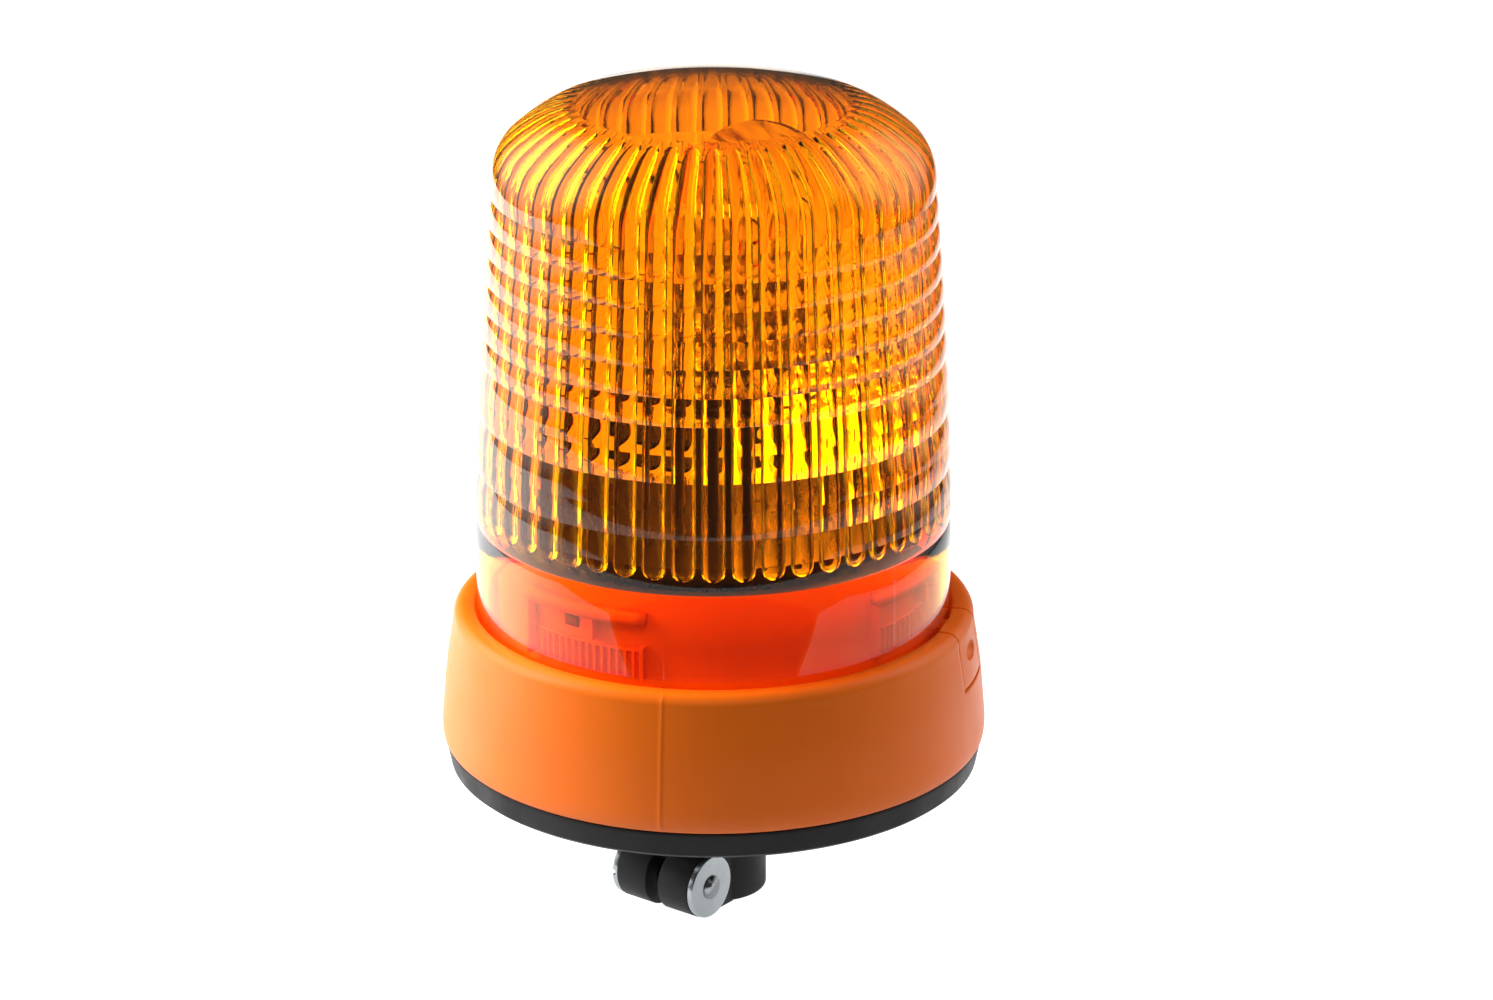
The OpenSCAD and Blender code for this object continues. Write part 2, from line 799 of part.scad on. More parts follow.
module bulb_base() {
    color("silver") {
        disc(7, 155, 160);
        difference() {
            disc(8.6, 160, 161.2);
            at_az(90, 8.6) disc(1.2, 159, 162);
        }
        ring(6.2, bulb_r, 161.2, 165);
    }
}

module bulb_glass() {
    color([0.9, 0.95, 1, 0.5]) rotate_extrude() polygon(concat(
        [[0, 161.2], [bulb_r, 161.2], [bulb_r, 183]],
        [for (a = [15 : 15 : 75]) [1.2 + (bulb_r - 1.2) * cos(a), 183 + 4 * sin(a)]],
        [[1.2, 187.2], [0, 189], [0, 184.5], [3.4, 183.5], [4.6, 181], [4.6, 166], [3.4, 164.5], [0, 164.5]]
    ));
}

module filament() {
    color("dimgray") {
        translate([0, 0, focus_z - 2.5]) coil(0.9, 0.14, 0.55, 9);
        rod([0.9, 0, 164.5], [0.9, 0, focus_z - 2.5], 0.25);
        rod([-2.6, 0, 164.5], [-2.6, 0, focus_z + 3], 0.25);
        rod([-2.6, 0, focus_z + 3], [0.9, 0, focus_z + 2.45], 0.25);
    }
}

// Wire clip that holds the bulb's flange down.
module bulb_clip() {
    color("silver") rotate([0, 0, -45]) wire(clip_route, 0.4, [0, -0.3, 1]);
}

module lamp_leads() {
    color("firebrick") wire(lamp_route, 0.9);
    color("saddlebrown") wire(shifted(lamp_route, [-1.6, 1.4, 0]), 0.9);
}

module on_board(x, y, z) {
    rotate([0, 0, board_dir]) translate([board_c + x, y, z]) children();
}

module circuit_board() {
    color("seagreen") difference() {
        on_board(-18, -27, 90.4) cube([34, 54, 1.6]);
        for (p = board_posts) translate(p) disc(1.2, 90, 93);
    }
}

module board_screws() {
    color("silver") for (p = board_posts) translate([p[0], p[1], 90.4]) screw_up(1.2, 7.5, 2.3, 1.4);
}

// Ferrite drum choke under the board.
module choke() {
    color([0.3, 0.3, 0.32]) on_board(2, -10, 0) {
        disc(7, 88.9, 90.4);
        disc(7, 78, 79.5);
        disc(3, 79, 89);
    }
    color("peru") on_board(2, -10, 79.9) coil(4.2, 0.62, 1.36, 6.2);
}

module capacitor() {
    color("midnightblue") on_board(4, 12, 0) {
        disc(6.3, 72, 90.4);
        disc(5.4, 71.2, 72);
    }
}

// ---- turntable and reflector ----

module turntable() {
    color([0.08, 0.08, 0.08]) difference() {
        union() {
            disc(table_r, table_z, table_top);
            ring(table_r, table_r - 1.6, table_top - EPS, table_top + 1.2);
            disc(hub_r, hub_z, table_z + EPS);
            ring(28.4, 26, ring_z, table_z + EPS);
            translate([0, 0, ring_z]) rotate([0, 0, ring_dir]) difference() {
                gear(ring_teeth, ring_m, ring_h);
                translate([0, 0, -1]) cylinder(r = 26, h = ring_h + 2);
            }
        }
        disc(hub_bore_r, hub_z - 1, table_top + 2);
        for (side = [-1, 1]) at_az(reflector_az + 180)
            translate([foot_screw_x, side * foot_screw_y, 0]) disc(1.3, table_z - 1, table_top + 1);
    }
}

function parabola_x(rho) = rho * rho / (4 * focal) - focal;

// Solid paraboloid band between two offsets behind the mirror surface, opening along local +X.
module paraboloid(front, back) {
    translate([0, 0, focus_z]) rotate([0, 90, 0]) rotate_extrude() polygon(concat(
        [for (i = [0 : rho_steps]) let (rho = reach_rho * i / rho_steps) [rho, parabola_x(rho) - front]],
        [for (i = [rho_steps : -1 : 0]) let (rho = reach_rho * i / rho_steps) [rho, parabola_x(rho) - back]]
    ));
}

module reflector() {
    arch_r = reflector_w / 2;
    color("gainsboro") at_az(reflector_az) difference() {
        intersection() {
            paraboloid(0, reflector_t);
            union() {
                translate([-60, 0, reflector_top_z - arch_r]) rotate([0, 90, 0]) cylinder(r = arch_r, h = 80);
                translate([-60, -arch_r, reflector_bottom_z])
                    cube([80, reflector_w, reflector_top_z - arch_r - reflector_bottom_z]);
            }
        }
        rivet_holes();
    }
}

module rivet_holes() {
    for (y = [-rivet_y, rivet_y]) translate([-50, y, rivet_z]) rotate([0, 90, 0])
        cylinder(r = rivet_r, h = 40, $fn = FINE);
}

module reflector_bracket() {
    color("lightsteelblue") at_az(reflector_az) difference() {
        union() {
            translate([foot_x, -foot_y, table_top]) cube([19, 2 * foot_y, 1.6]);
            intersection() {
                paraboloid(reflector_t, 2 * reflector_t);
                translate([-60, -foot_y, table_top]) cube([60, 2 * foot_y, 24]);
            }
        }
        rivet_holes();
        for (side = [-1, 1])
            translate([-foot_screw_x, side * foot_screw_y, 0]) disc(1.3, table_top - 1, table_top + 3);
    }
}

module bracket_screws() {
    color("silver") at_az(reflector_az) for (side = [-1, 1])
        translate([-foot_screw_x, side * foot_screw_y, table_top + 1.6]) screw_down(1.3, 4, 2.4, 1.6);
}

module reflector_rivets() {
    rho = norm([rivet_y, focus_z - rivet_z]);
    color("silver") at_az(reflector_az) for (y = [-rivet_y, rivet_y])
        translate([parabola_x(rho) - 5, y, rivet_z]) rotate([0, 90, 0])
            cylinder(r = rivet_r, h = 6.6, $fn = FINE);
}

// ---- lens ----

function wall_r(z) = lens_r - (z > band_top_z ? taper * pow(z - band_top_z, 1.5) : 0);
function crease_z(i) = i <= fine_bands
    ? crease_top_z - fine_pitch * i
    : crease_top_z - fine_pitch * fine_bands - coarse_pitch * (i - fine_bands);

// Cap height at radius r, measured from the dome's top.
function cap_z(r) = lens_top_z - cap_k * r * r;

// Outer outline of the lens, from its lower edge to the top.
function lens_outline() = concat(
    [[lens_r, lens_bottom_z], [lens_r, band_top_z]],
    [for (i = [fine_bands + coarse_bands : -1 : 1], k = [0 : 5])
        let (z0 = crease_z(i), z1 = crease_z(i - 1), t = k / 6, z = z0 + (z1 - z0) * t)
            [wall_r(z) + band_bulge * (4 * t * (1 - t) - 0.5), z]],
    [[wall_r(crease_top_z) - band_bulge / 2, crease_top_z]],
    [for (a = [0 : 6 : dome_end]) dome_c + dome_r * [cos(a), sin(a)]],
    [for (r = [48 : -8 : 0]) [r, cap_z(r)]]
);

// Inner outline, from the top down to the lower edge.
function lens_inside() = concat(
    [for (r = [0 : 8 : 48]) [r, cap_z(r) - lens_wall]],
    [for (a = [dome_end : -6 : 0]) dome_c + (dome_r - lens_wall) * [cos(a), sin(a)]],
    [for (z = [220 : -20 : 140]) [wall_r(z) - lens_wall, z]],
    [[lens_r - lens_wall, band_top_z], [lens_r - lens_wall, lens_bottom_z]]
);

module lens() {
    color([1, 0.5, 0, 0.55]) difference() {
        union() {
            rotate_extrude() polygon(concat(lens_outline(), lens_inside()));
            for (az = field_azs)
                sector(
                    neck_r + 0.5, lens_r - lens_wall + 0.4, lug_z, lug_z + lug_h,
                    az + lug_shift - lug_half, az + lug_shift + lug_half
                );
        }
        sector(
            lens_r - lens_wall - 2, lens_r + 2, nose_z - 0.6, nose_z + nose_h + 0.6,
            latch_az - slot_half - lens_turn, latch_az + slot_half
        );
    }
}

clamp_socket();
clamp_screw();
clamp_nut();
contact_carrier();
centre_contact();
earth_contact();
flex_neck();
supply_leads();
flange_ring();
flange_screws();
base_plate();
base_screws();
base_seal();
vent_plug();
base_housing();
latch_pin();
latch_spring();
lens_seal();
deck_plate();
deck_screws();
gear_shroud();
motor_can();
motor_magnets();
motor_endcap();
motor_terminals();
motor_screws();
motor_leads();
idler_shaft();
idler_circlip();
lamp_post();
post_screws();
bearing_bush();
lamp_holder();
bulb_base();
bulb_glass();
filament();
bulb_clip();
lamp_leads();
circuit_board();
board_screws();
choke();
capacitor();
lens();
latch();
turntable();
reflector();
reflector_bracket();
bracket_screws();
reflector_rivets();
idler_gear();
motor_shaft();
motor_armature();
motor_pinion();
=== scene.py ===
"""Rotating warning beacon on a flexible clamp socket: the looks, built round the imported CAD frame."""
import math

import bpy
import bmesh
from mathutils import Matrix, Vector


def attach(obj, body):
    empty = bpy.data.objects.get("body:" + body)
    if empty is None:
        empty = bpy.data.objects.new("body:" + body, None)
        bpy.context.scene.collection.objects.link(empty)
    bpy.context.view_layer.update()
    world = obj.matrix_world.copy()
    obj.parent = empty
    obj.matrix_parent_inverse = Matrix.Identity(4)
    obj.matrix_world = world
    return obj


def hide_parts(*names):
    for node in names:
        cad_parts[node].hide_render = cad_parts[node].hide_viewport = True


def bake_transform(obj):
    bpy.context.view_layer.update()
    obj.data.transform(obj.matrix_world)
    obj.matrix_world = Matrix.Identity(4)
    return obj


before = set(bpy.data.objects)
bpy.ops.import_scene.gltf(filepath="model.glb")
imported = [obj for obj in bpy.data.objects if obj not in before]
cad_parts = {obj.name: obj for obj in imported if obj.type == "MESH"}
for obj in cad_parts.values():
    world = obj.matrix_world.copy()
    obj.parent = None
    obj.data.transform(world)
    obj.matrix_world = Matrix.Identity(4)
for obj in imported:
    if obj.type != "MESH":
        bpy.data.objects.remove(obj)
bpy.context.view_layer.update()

MM = 0.001

# ---------------------------------------------------------------- sizes, in millimetres
BASE_R = 83.7
SKIRT_Z = 52.6
SHOULDER_Z = 94.8
SHOULDER_ROUND = 3.7
BASE_WALL = 2.9
NECK_R = 65.75
NECK_TOP = 121.6
NECK_WALL = 2.55
GROOVE_R = 73.2
GROOVE_Z = 88.2
LEDGE_R = 54.0
LEDGE_Z = 96.8
DECK_Z = 100.0
RING_Z = 44.0
PLATE_Z = 46.5
PLATE_R = 77.6

LENS_R = 72.5
LENS_WALL = 3.0
LENS_BOTTOM = 89.0
LENS_TOP = 258.2
BAND_TOP = 122.0
TAPER = 0.00536
CREASE_TOP = 225.9
FINE_PITCH = 8.5
COARSE_PITCH = 17.1
FINE_BANDS = 6
COARSE_BANDS = 3
BULGE = 0.7
DOME_C = (48.6, 229.5)
DOME_R = 18.3
DOME_END = 50
CAP_JOIN_R = 46.0
CAP_K = 0.0030
FLUTES = 50
FLUTE_DEPTH = 1.6
PETAL_R = 43.6

LATCH_AZ = 75.5
LATCH_W = 21.0
LATCH_Z = 76.9
LATCH_T = 2.8
LATCH_PIN_R = 77.4
LATCH_PIN_Z = 79.6
POCKET_GAP = 0.4
POCKET_DROP = 1.0
POCKET_X = 70.5
SEAM_AZ = -11.0
LENS_SEAM_AZS = (-11.0, 49.0)
SEAM_H = 0.14
SEAM_W = math.radians(0.22)

FIELD_AZS = (-35.0, 62.0, 145.0, 242.0)
FIELD_HALF = 18.0
FIELD_R = 69.0

SOCKET_R = 16.2
BORE_R = 12.55
EAR_AZ = -38.0
EAR_REACH = 21.5
EAR_Z = 9.9
EAR_R = 10.0
EAR_OUT = 13.7
SLIT_W = 4.9
HEAD_R = 9.8
HEAD_T = 2.0
HEAD_FACE = EAR_OUT + HEAD_T

REFLECTOR_AZ = -48.0
FOCAL = 46.0
FOCUS_Z = 178.0
REFLECTOR_W = 96.0
REFLECTOR_TOP = 241.0
REFLECTOR_BOTTOM = 130.0
REFLECTOR_T = 1.6


# ---------------------------------------------------------------- small helpers
def polar(r, az, z=0.0):
    """A point in millimetres at azimuth az, measured from the front (-Y) towards +X."""
    a = math.radians(az)
    return Vector((r * math.sin(a), -r * math.cos(a), z))


def at_az(az, r=0.0, z=0.0):
    """A frame with local +X pointing outwards at azimuth az."""
    return Matrix.Translation(polar(r, az, z)) @ Matrix.Rotation(math.radians(az - 90), 4, "Z")


def new_object(name, verts, faces, materials, face_mats=None, smooth=True):
    """A mesh object from millimetre vertices."""
    mesh = bpy.data.meshes.new(name)
    mesh.from_pydata([Vector(v) * MM for v in verts], [], faces)
    for m in materials:
        mesh.materials.append(m)
    if face_mats:
        mesh.polygons.foreach_set("material_index", face_mats)
    mesh.polygons.foreach_set("use_smooth", [smooth] * len(mesh.polygons))
    mesh.update()
    ob = bpy.data.objects.new(name, mesh)
    bpy.context.scene.collection.objects.link(ob)
    return ob


def tidy_mesh(ob, angle=35):
    """Merges doubled points, turns faces outwards and marks hard edges."""
    bm = bmesh.new()
    bm.from_mesh(ob.data)
    bmesh.ops.remove_doubles(bm, verts=bm.verts, dist=2e-6)
    bmesh.ops.recalc_face_normals(bm, faces=bm.faces)
    limit = math.radians(angle)
    for e in bm.edges:
        e.smooth = not (len(e.link_faces) == 2 and e.calc_face_angle() > limit)
    bm.to_mesh(ob.data)
    bm.free()
    return ob


def bake_modifiers(ob):
    """Turns the object's modifiers into plain mesh."""
    dg = bpy.context.evaluated_depsgraph_get()
    mesh = bpy.data.meshes.new_from_object(ob.evaluated_get(dg))
    ob.modifiers.clear()
    ob.data = mesh
    return ob


def bevel(ob, width, segments=3, angle=35):
    """Rounds hard edges by width in millimetres."""
    m = ob.modifiers.new("edge", "BEVEL")
    m.width = width * MM
    m.segments = segments
    m.limit_method = "ANGLE"
    m.angle_limit = math.radians(angle)
    m.harden_normals = True
    m.use_clamp_overlap = True
    return ob


def cut(ob, tool):
    """Takes tool's volume out of ob."""
    m = ob.modifiers.new("cut", "BOOLEAN")
    m.operation = "DIFFERENCE"
    m.solver = "EXACT"
    m.object = tool
    bake_modifiers(ob)
    bpy.data.objects.remove(tool)
    return ob


def join_meshes(name, parts):
    """One object from several, keeping each one's materials."""
    verts, faces, mats, idx, smooth = [], [], [], [], []
    for p in parts:
        off = len(verts)
        verts += [p.matrix_world @ v.co for v in p.data.vertices]
        local = []
        for m in p.data.materials:
            if m not in mats:
                mats.append(m)
            local.append(mats.index(m))
        for f in p.data.polygons:
            faces.append([off + i for i in f.vertices])
            idx.append(local[f.material_index] if local else 0)
            smooth.append(f.use_smooth)
    mesh = bpy.data.meshes.new(name)
    mesh.from_pydata(verts, [], faces)
    for m in mats:
        mesh.materials.append(m)
    mesh.polygons.foreach_set("material_index", idx)
    mesh.polygons.foreach_set("use_smooth", smooth)
    mesh.update()
    ob = bpy.data.objects.new(name, mesh)
    bpy.context.scene.collection.objects.link(ob)
    for p in parts:
        bpy.data.objects.remove(p)
    return ob


def revolve(name, outline, materials, steps=256, closed=True, mats=None, seam=None, seam_rows=0):
    """Turns an (r, z) outline about Z. closed joins the outline's two ends.

    seam is the azimuth of a fine mould ridge that runs over the outline's first seam_rows points."""
    verts, faces, idx = [], [], []
    n = len(outline)
    turns = [(2 * math.pi * i / steps, 0.0) for i in range(steps)]
    if seam is not None:
        middle = math.radians(seam - 90) % (2 * math.pi)
        turns = [t for t in turns if abs(t[0] - middle) > SEAM_W * 1.5]
        turns += [(middle - SEAM_W, 0.0), (middle, SEAM_H), (middle + SEAM_W, 0.0)]
        turns.sort()
    for a, lift in turns:
        for k, (r, z) in enumerate(outline):
            out = r + (lift if k < seam_rows else 0.0)
            verts.append((out * math.cos(a), out * math.sin(a), z))
    for i in range(len(turns)):
        j = (i + 1) % len(turns)
        for k in range(n if closed else n - 1):
            m = (k + 1) % n
            faces.append((i * n + k, j * n + k, j * n + m, i * n + m))
            idx.append(mats[k] if mats else 0)
    ob = new_object(name, verts, faces, materials, idx)
    return tidy_mesh(ob)


def round_outline(points, radius, steps=5):
    """Rounds the corners of an (r, z) outline; radius is one number or one for each point."""
    out = []
    n = len(points)
    for i, p in enumerate(points):
        rad = radius[i] if isinstance(radius, (list, tuple)) else radius
        p = Vector(p)
        a = Vector(points[i - 1]) - p
        b = Vector(points[(i + 1) % n]) - p
        if rad <= 0 or a.length < 1e-6 or b.length < 1e-6:
            out.append(tuple(p))
            continue
        half = a.angle(b) / 2
        reach = min(rad / math.tan(half), a.length * 0.45, b.length * 0.45) if half > 0.05 else 0
        pa, pb = p + a.normalized() * reach, p + b.normalized() * reach
        for k in range(steps + 1):
            t = k / steps
            out.append(tuple((1 - t) ** 2 * pa + 2 * t * (1 - t) * p + t * t * pb))
    return out


def smooth_curve(points, steps=6):
    """Catmull-Rom points through an (r, z) list."""
    out = []
    n = len(points)
    for i in range(n - 1):
        a, b, c, d = (Vector(points[min(max(i + k, 0), n - 1)]) for k in (-1, 0, 1, 2))
        for s in range(steps):
            t = s / steps
            out.append(tuple(0.5 * (
                2 * b + (c - a) * t + (2 * a - 5 * b + 4 * c - d) * t * t
                + (3 * b - a - 3 * c + d) * t ** 3
            )))
    out.append(tuple(points[-1]))
    return out


def box_mesh(name, low, high, materials, matrix=None, smooth=False):
    """A box between two corners, placed by a matrix, all in millimetres."""
    xs, ys, zs = zip(low, high)
    verts = [Vector((x, y, z)) for x in xs for y in ys for z in zs]
    if matrix:
        verts = [matrix @ v for v in verts]
    faces = [(0, 1, 3, 2), (4, 6, 7, 5), (0, 4, 5, 1), (2, 3, 7, 6), (0, 2, 6, 4), (1, 5, 7, 3)]
    return new_object(name, verts, faces, materials, smooth=smooth)


def cylinder_mesh(name, r, length, materials, matrix, steps=64, r_top=None):
    """A capped cylinder along local +Z."""
    r_top = r if r_top is None else r_top
    verts = []
    for z, rr in ((0, r), (length, r_top)):
        verts += [matrix @ Vector((rr * math.cos(2 * math.pi * i / steps), rr * math.sin(2 * math.pi * i / steps), z))
                  for i in range(steps)]
    faces = [(i, (i + 1) % steps, steps + (i + 1) % steps, steps + i) for i in range(steps)]
    faces.append(tuple(range(steps - 1, -1, -1)))
    faces.append(tuple(range(steps, 2 * steps)))
    return tidy_mesh(new_object(name, verts, faces, materials))


def turned(name, outline, materials, matrix, steps=96, closed=True):
    """A revolved outline placed by a matrix."""
    ob = revolve(name, outline, materials, steps, closed)
    scaled = matrix.copy()
    scaled.translation = matrix.translation * MM
    ob.data.transform(scaled)
    return ob


# ---------------------------------------------------------------- materials
class Shader:
    """A short way to build one node material."""

    def __init__(self, name):
        self.mat = bpy.data.materials.new(name)
        self.mat.use_nodes = True
        self.nt = self.mat.node_tree
        self.bsdf = self.nt.nodes["Principled BSDF"]
        self.coord = self.add("ShaderNodeTexCoord")

    def add(self, kind, **values):
        n = self.nt.nodes.new(kind)
        for key, v in values.items():
            setattr(n, key, v)
        return n

    def link(self, a, b):
        self.nt.links.new(a, b)

    def noise(self, scale, detail=4.0, roughness=0.6, stretch=(1, 1, 1)):
        mapping = self.add("ShaderNodeMapping")
        mapping.inputs["Scale"].default_value = stretch
        self.link(self.coord.outputs["Object"], mapping.inputs["Vector"])
        n = self.add("ShaderNodeTexNoise")
        n.inputs["Scale"].default_value = scale
        n.inputs["Detail"].default_value = detail
        n.inputs["Roughness"].default_value = roughness
        self.link(mapping.outputs["Vector"], n.inputs["Vector"])
        return n.outputs["Fac"]

    def ramp(self, value, stops):
        n = self.add("ShaderNodeValToRGB")
        e = n.color_ramp.elements
        while len(e) < len(stops):
            e.new(0.5)
        for k, (pos, c) in enumerate(stops):
            e[k].position = pos
            e[k].color = (*c, 1) if len(c) == 3 else c
        self.link(value, n.inputs["Fac"])
        return n.outputs["Color"]

    def map(self, value, lo, hi, from_lo=0.3, from_hi=0.7):
        n = self.add("ShaderNodeMapRange")
        n.inputs["From Min"].default_value = from_lo
        n.inputs["From Max"].default_value = from_hi
        n.inputs["To Min"].default_value = lo
        n.inputs["To Max"].default_value = hi
        self.link(value, n.inputs["Value"])
        return n.outputs["Result"]

    def multiply(self, a, b):
        n = self.add("ShaderNodeMath")
        n.operation = "MULTIPLY"
        self.link(a, n.inputs[0])
        self.link(b, n.inputs[1])
        return n.outputs["Value"]

    def bump(self, heights):
        """heights is a list of (value socket, distance in metres, strength)."""
        normal = None
        for value, distance, strength in heights:
            n = self.add("ShaderNodeBump")
            n.inputs["Distance"].default_value = distance
            n.inputs["Strength"].default_value = strength
            self.link(value, n.inputs["Height"])
            if normal:
                self.link(normal, n.inputs["Normal"])
            normal = n.outputs["Normal"]
        self.link(normal, self.bsdf.inputs["Normal"])

    def set(self, **values):
        for key, v in values.items():
            self.bsdf.inputs[key.replace("_", " ")].default_value = v


def plastic(name, dark, light, rough, grain=1400, grain_depth=0.00002, spec=0.4):
    """Moulded plastic: fine spark-eroded grain and a slow drift in colour."""
    s = Shader(name)
    s.link(s.ramp(s.noise(18, 3), [(0.35, dark), (0.65, light)]), s.bsdf.inputs["Base Color"])
    s.link(s.map(s.noise(60, 4), rough - 0.04, rough + 0.05), s.bsdf.inputs["Roughness"])
    s.bump([(s.noise(grain, 3), grain_depth, 0.6), (s.noise(30, 2), 0.00012, 0.15)])
    s.set(Specular_IOR_Level=spec)
    return s.mat


def rubber(name, dark, light, rough):
    """Black rubber with dust in its grain and pale scuffs."""
    s = Shader(name)
    scuff = s.ramp(s.noise(55, 8, 0.75, (1, 1, 2.2)), [(0.60, (0, 0, 0)), (0.78, (1, 1, 1))])
    mix = s.add("ShaderNodeMixRGB")
    s.link(scuff, mix.inputs["Fac"])
    s.link(s.ramp(s.noise(22, 3), [(0.3, dark), (0.7, light)]), mix.inputs["Color1"])
    mix.inputs["Color2"].default_value = (light[0] * 2.4, light[1] * 2.4, light[2] * 2.5, 1)
    s.link(mix.outputs["Color"], s.bsdf.inputs["Base Color"])
    s.link(s.map(s.noise(80, 5), rough - 0.08, rough + 0.1), s.bsdf.inputs["Roughness"])
    s.bump([(s.noise(900, 4), 0.00003, 0.7), (s.noise(120, 5), 0.00008, 0.3)])
    s.set(Specular_IOR_Level=0.28)
    return s.mat


def metal(name, dark, light, rough, stretch=(1, 1, 1), scale=300):
    """Plated or plain metal with fine working marks."""
    s = Shader(name)
    s.link(s.ramp(s.noise(40, 4), [(0.3, dark), (0.7, light)]), s.bsdf.inputs["Base Color"])
    s.link(s.map(s.noise(scale, 4, 0.6, stretch), rough - 0.08, rough + 0.1), s.bsdf.inputs["Roughness"])
    s.bump([(s.noise(scale * 2, 3, 0.6, stretch), 0.00002, 0.35)])
    s.set(Metallic=1.0)
    return s.mat


def clear(name, tint, ior, shadow_tint, rough=0.0, grain=None, gloss=(1, 1, 1)):
    """Clear plastic or glass that lets lamps light what is inside it."""
    s = Shader(name)
    s.set(Base_Color=(*tint, 1), Roughness=rough, IOR=ior, Transmission_Weight=1.0, Specular_Tint=(*gloss, 1))
    if grain:
        s.bump([(s.noise(grain[0], 2), grain[1], grain[2])])
    path = s.add("ShaderNodeLightPath")
    through = s.add("ShaderNodeBsdfTransparent")
    through.inputs["Color"].default_value = (*shadow_tint, 1)
    mix = s.add("ShaderNodeMixShader")
    s.link(path.outputs["Is Shadow Ray"], mix.inputs["Fac"])
    s.link(s.bsdf.outputs["BSDF"], mix.inputs[1])
    s.link(through.outputs["BSDF"], mix.inputs[2])
    s.link(mix.outputs["Shader"], s.nt.nodes["Material Output"].inputs["Surface"])
    return s.mat


M_ORANGE = plastic("orange_housing", (0.76, 0.136, 0.002), (0.80, 0.148, 0.003), 0.42, spec=0.42)
# Darker copy of the housing orange: painted shade, used on a small raised block so that it reads as a recess.
M_PAINTED_SHADE = plastic("orange_painted_shade", (0.20, 0.018, 0.003), (0.24, 0.022, 0.004), 0.6)
M_AMBER = clear("amber_polycarbonate", (1.0, 0.46, 0.001), 1.58, (1.0, 0.72, 0.05), 0.0, (9, 0.0004, 0.12))
M_RUBBER = rubber("black_rubber", (0.006, 0.006, 0.007), (0.013, 0.012, 0.013), 0.5)
M_BLACK = plastic("black_moulding", (0.012, 0.011, 0.011), (0.022, 0.021, 0.020), 0.42, 1100, 0.00003)
M_GLOSS_BLACK = plastic("black_gear_plastic", (0.010, 0.009, 0.009), (0.018, 0.016, 0.015), 0.28, 1600, 0.00001)
M_ZINC = metal("zinc_plate", (0.40, 0.43, 0.45), (0.55, 0.58, 0.60), 0.24)
M_STEEL = metal("drawn_steel", (0.45, 0.46, 0.47), (0.60, 0.61, 0.62), 0.34, (1, 1, 0.1))
M_SPRING = metal("spring_steel", (0.20, 0.20, 0.21), (0.32, 0.32, 0.33), 0.32)
M_BRASS = metal("brass", (0.62, 0.42, 0.15), (0.80, 0.60, 0.25), 0.3)
M_BRONZE = metal("sintered_bronze", (0.40, 0.25, 0.10), (0.55, 0.36, 0.16), 0.48)
M_COPPER = metal("enamelled_copper", (0.50, 0.20, 0.09), (0.72, 0.34, 0.16), 0.28, (1, 1, 6))
M_MIRROR = metal("mirror_coat", (0.90, 0.90, 0.88), (0.95, 0.95, 0.93), 0.09, (1, 1, 1), 90)
M_SPUN = metal("spun_aluminium", (0.72, 0.72, 0.71), (0.86, 0.86, 0.85), 0.22, (1, 1, 1), 500)
M_FERRITE = plastic("ferrite", (0.05, 0.05, 0.055), (0.09, 0.09, 0.095), 0.6, 700, 0.00004)
M_ACETAL = plastic("acetal", (0.62, 0.60, 0.52), (0.72, 0.70, 0.62), 0.38, 1200, 0.00001)
M_TAN = plastic("phenolic", (0.30, 0.20, 0.10), (0.42, 0.29, 0.15), 0.5, 500, 0.00003)
M_BOARD = plastic("solder_mask", (0.01, 0.12, 0.05), (0.02, 0.18, 0.08), 0.3, 600, 0.00001)
M_SLEEVE = plastic("capacitor_sleeve", (0.012, 0.018, 0.08), (0.02, 0.03, 0.12), 0.25, 900, 0.00001)
M_RED = plastic("red_lead", (0.30, 0.015, 0.012), (0.42, 0.025, 0.02), 0.35, 900, 0.00001)
M_WIRE = plastic("black_lead", (0.012, 0.012, 0.012), (0.025, 0.025, 0.025), 0.4, 900, 0.00001)
M_QUARTZ = clear("quartz", (0.97, 0.98, 1.0), 1.46, (0.97, 0.98, 1.0))

NODE_MATERIALS = {
    "contact_carrier": M_TAN, "centre_contact": M_BRASS, "earth_contact": M_BRASS,
    "flange_ring": M_ZINC, "flange_screws": M_ZINC, "base_plate": M_BLACK, "base_screws": M_ZINC,
    "vent_plug": M_BLACK, "latch_pin": M_ZINC, "latch_spring": M_SPRING, "lens_seal": M_RUBBER,
    "deck_plate": M_BLACK, "deck_screws": M_ZINC, "gear_shroud": M_BLACK, "motor_can": M_STEEL,
    "motor_magnets": M_FERRITE, "motor_endcap": M_BLACK, "motor_terminals": M_BRASS,
    "motor_screws": M_ZINC, "motor_leads": M_RED, "idler_shaft": M_ZINC, "idler_circlip": M_SPRING,
    "lamp_post": M_BLACK, "post_screws": M_ZINC, "bearing_bush": M_BRONZE, "lamp_holder": M_BLACK,
    "bulb_base": M_ZINC, "filament": M_SPRING, "bulb_clip": M_SPRING, "lamp_leads": M_RED,
    "circuit_board": M_BOARD, "board_screws": M_ZINC, "choke": M_COPPER, "capacitor": M_SLEEVE,
    "turntable": M_GLOSS_BLACK, "reflector_bracket": M_ZINC, "bracket_screws": M_ZINC,
    "reflector_rivets": M_ZINC, "idler_gear": M_ACETAL, "motor_shaft": M_STEEL,
    "motor_armature": M_COPPER, "motor_pinion": M_BRASS, "supply_leads": M_WIRE,
}
for node, material in NODE_MATERIALS.items():
    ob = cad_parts[node]
    ob.data.materials.clear()
    ob.data.materials.append(material)


# ---------------------------------------------------------------- lens
def wall_r(z):
    return LENS_R - (TAPER * (z - BAND_TOP) ** 1.5 if z > BAND_TOP else 0.0)


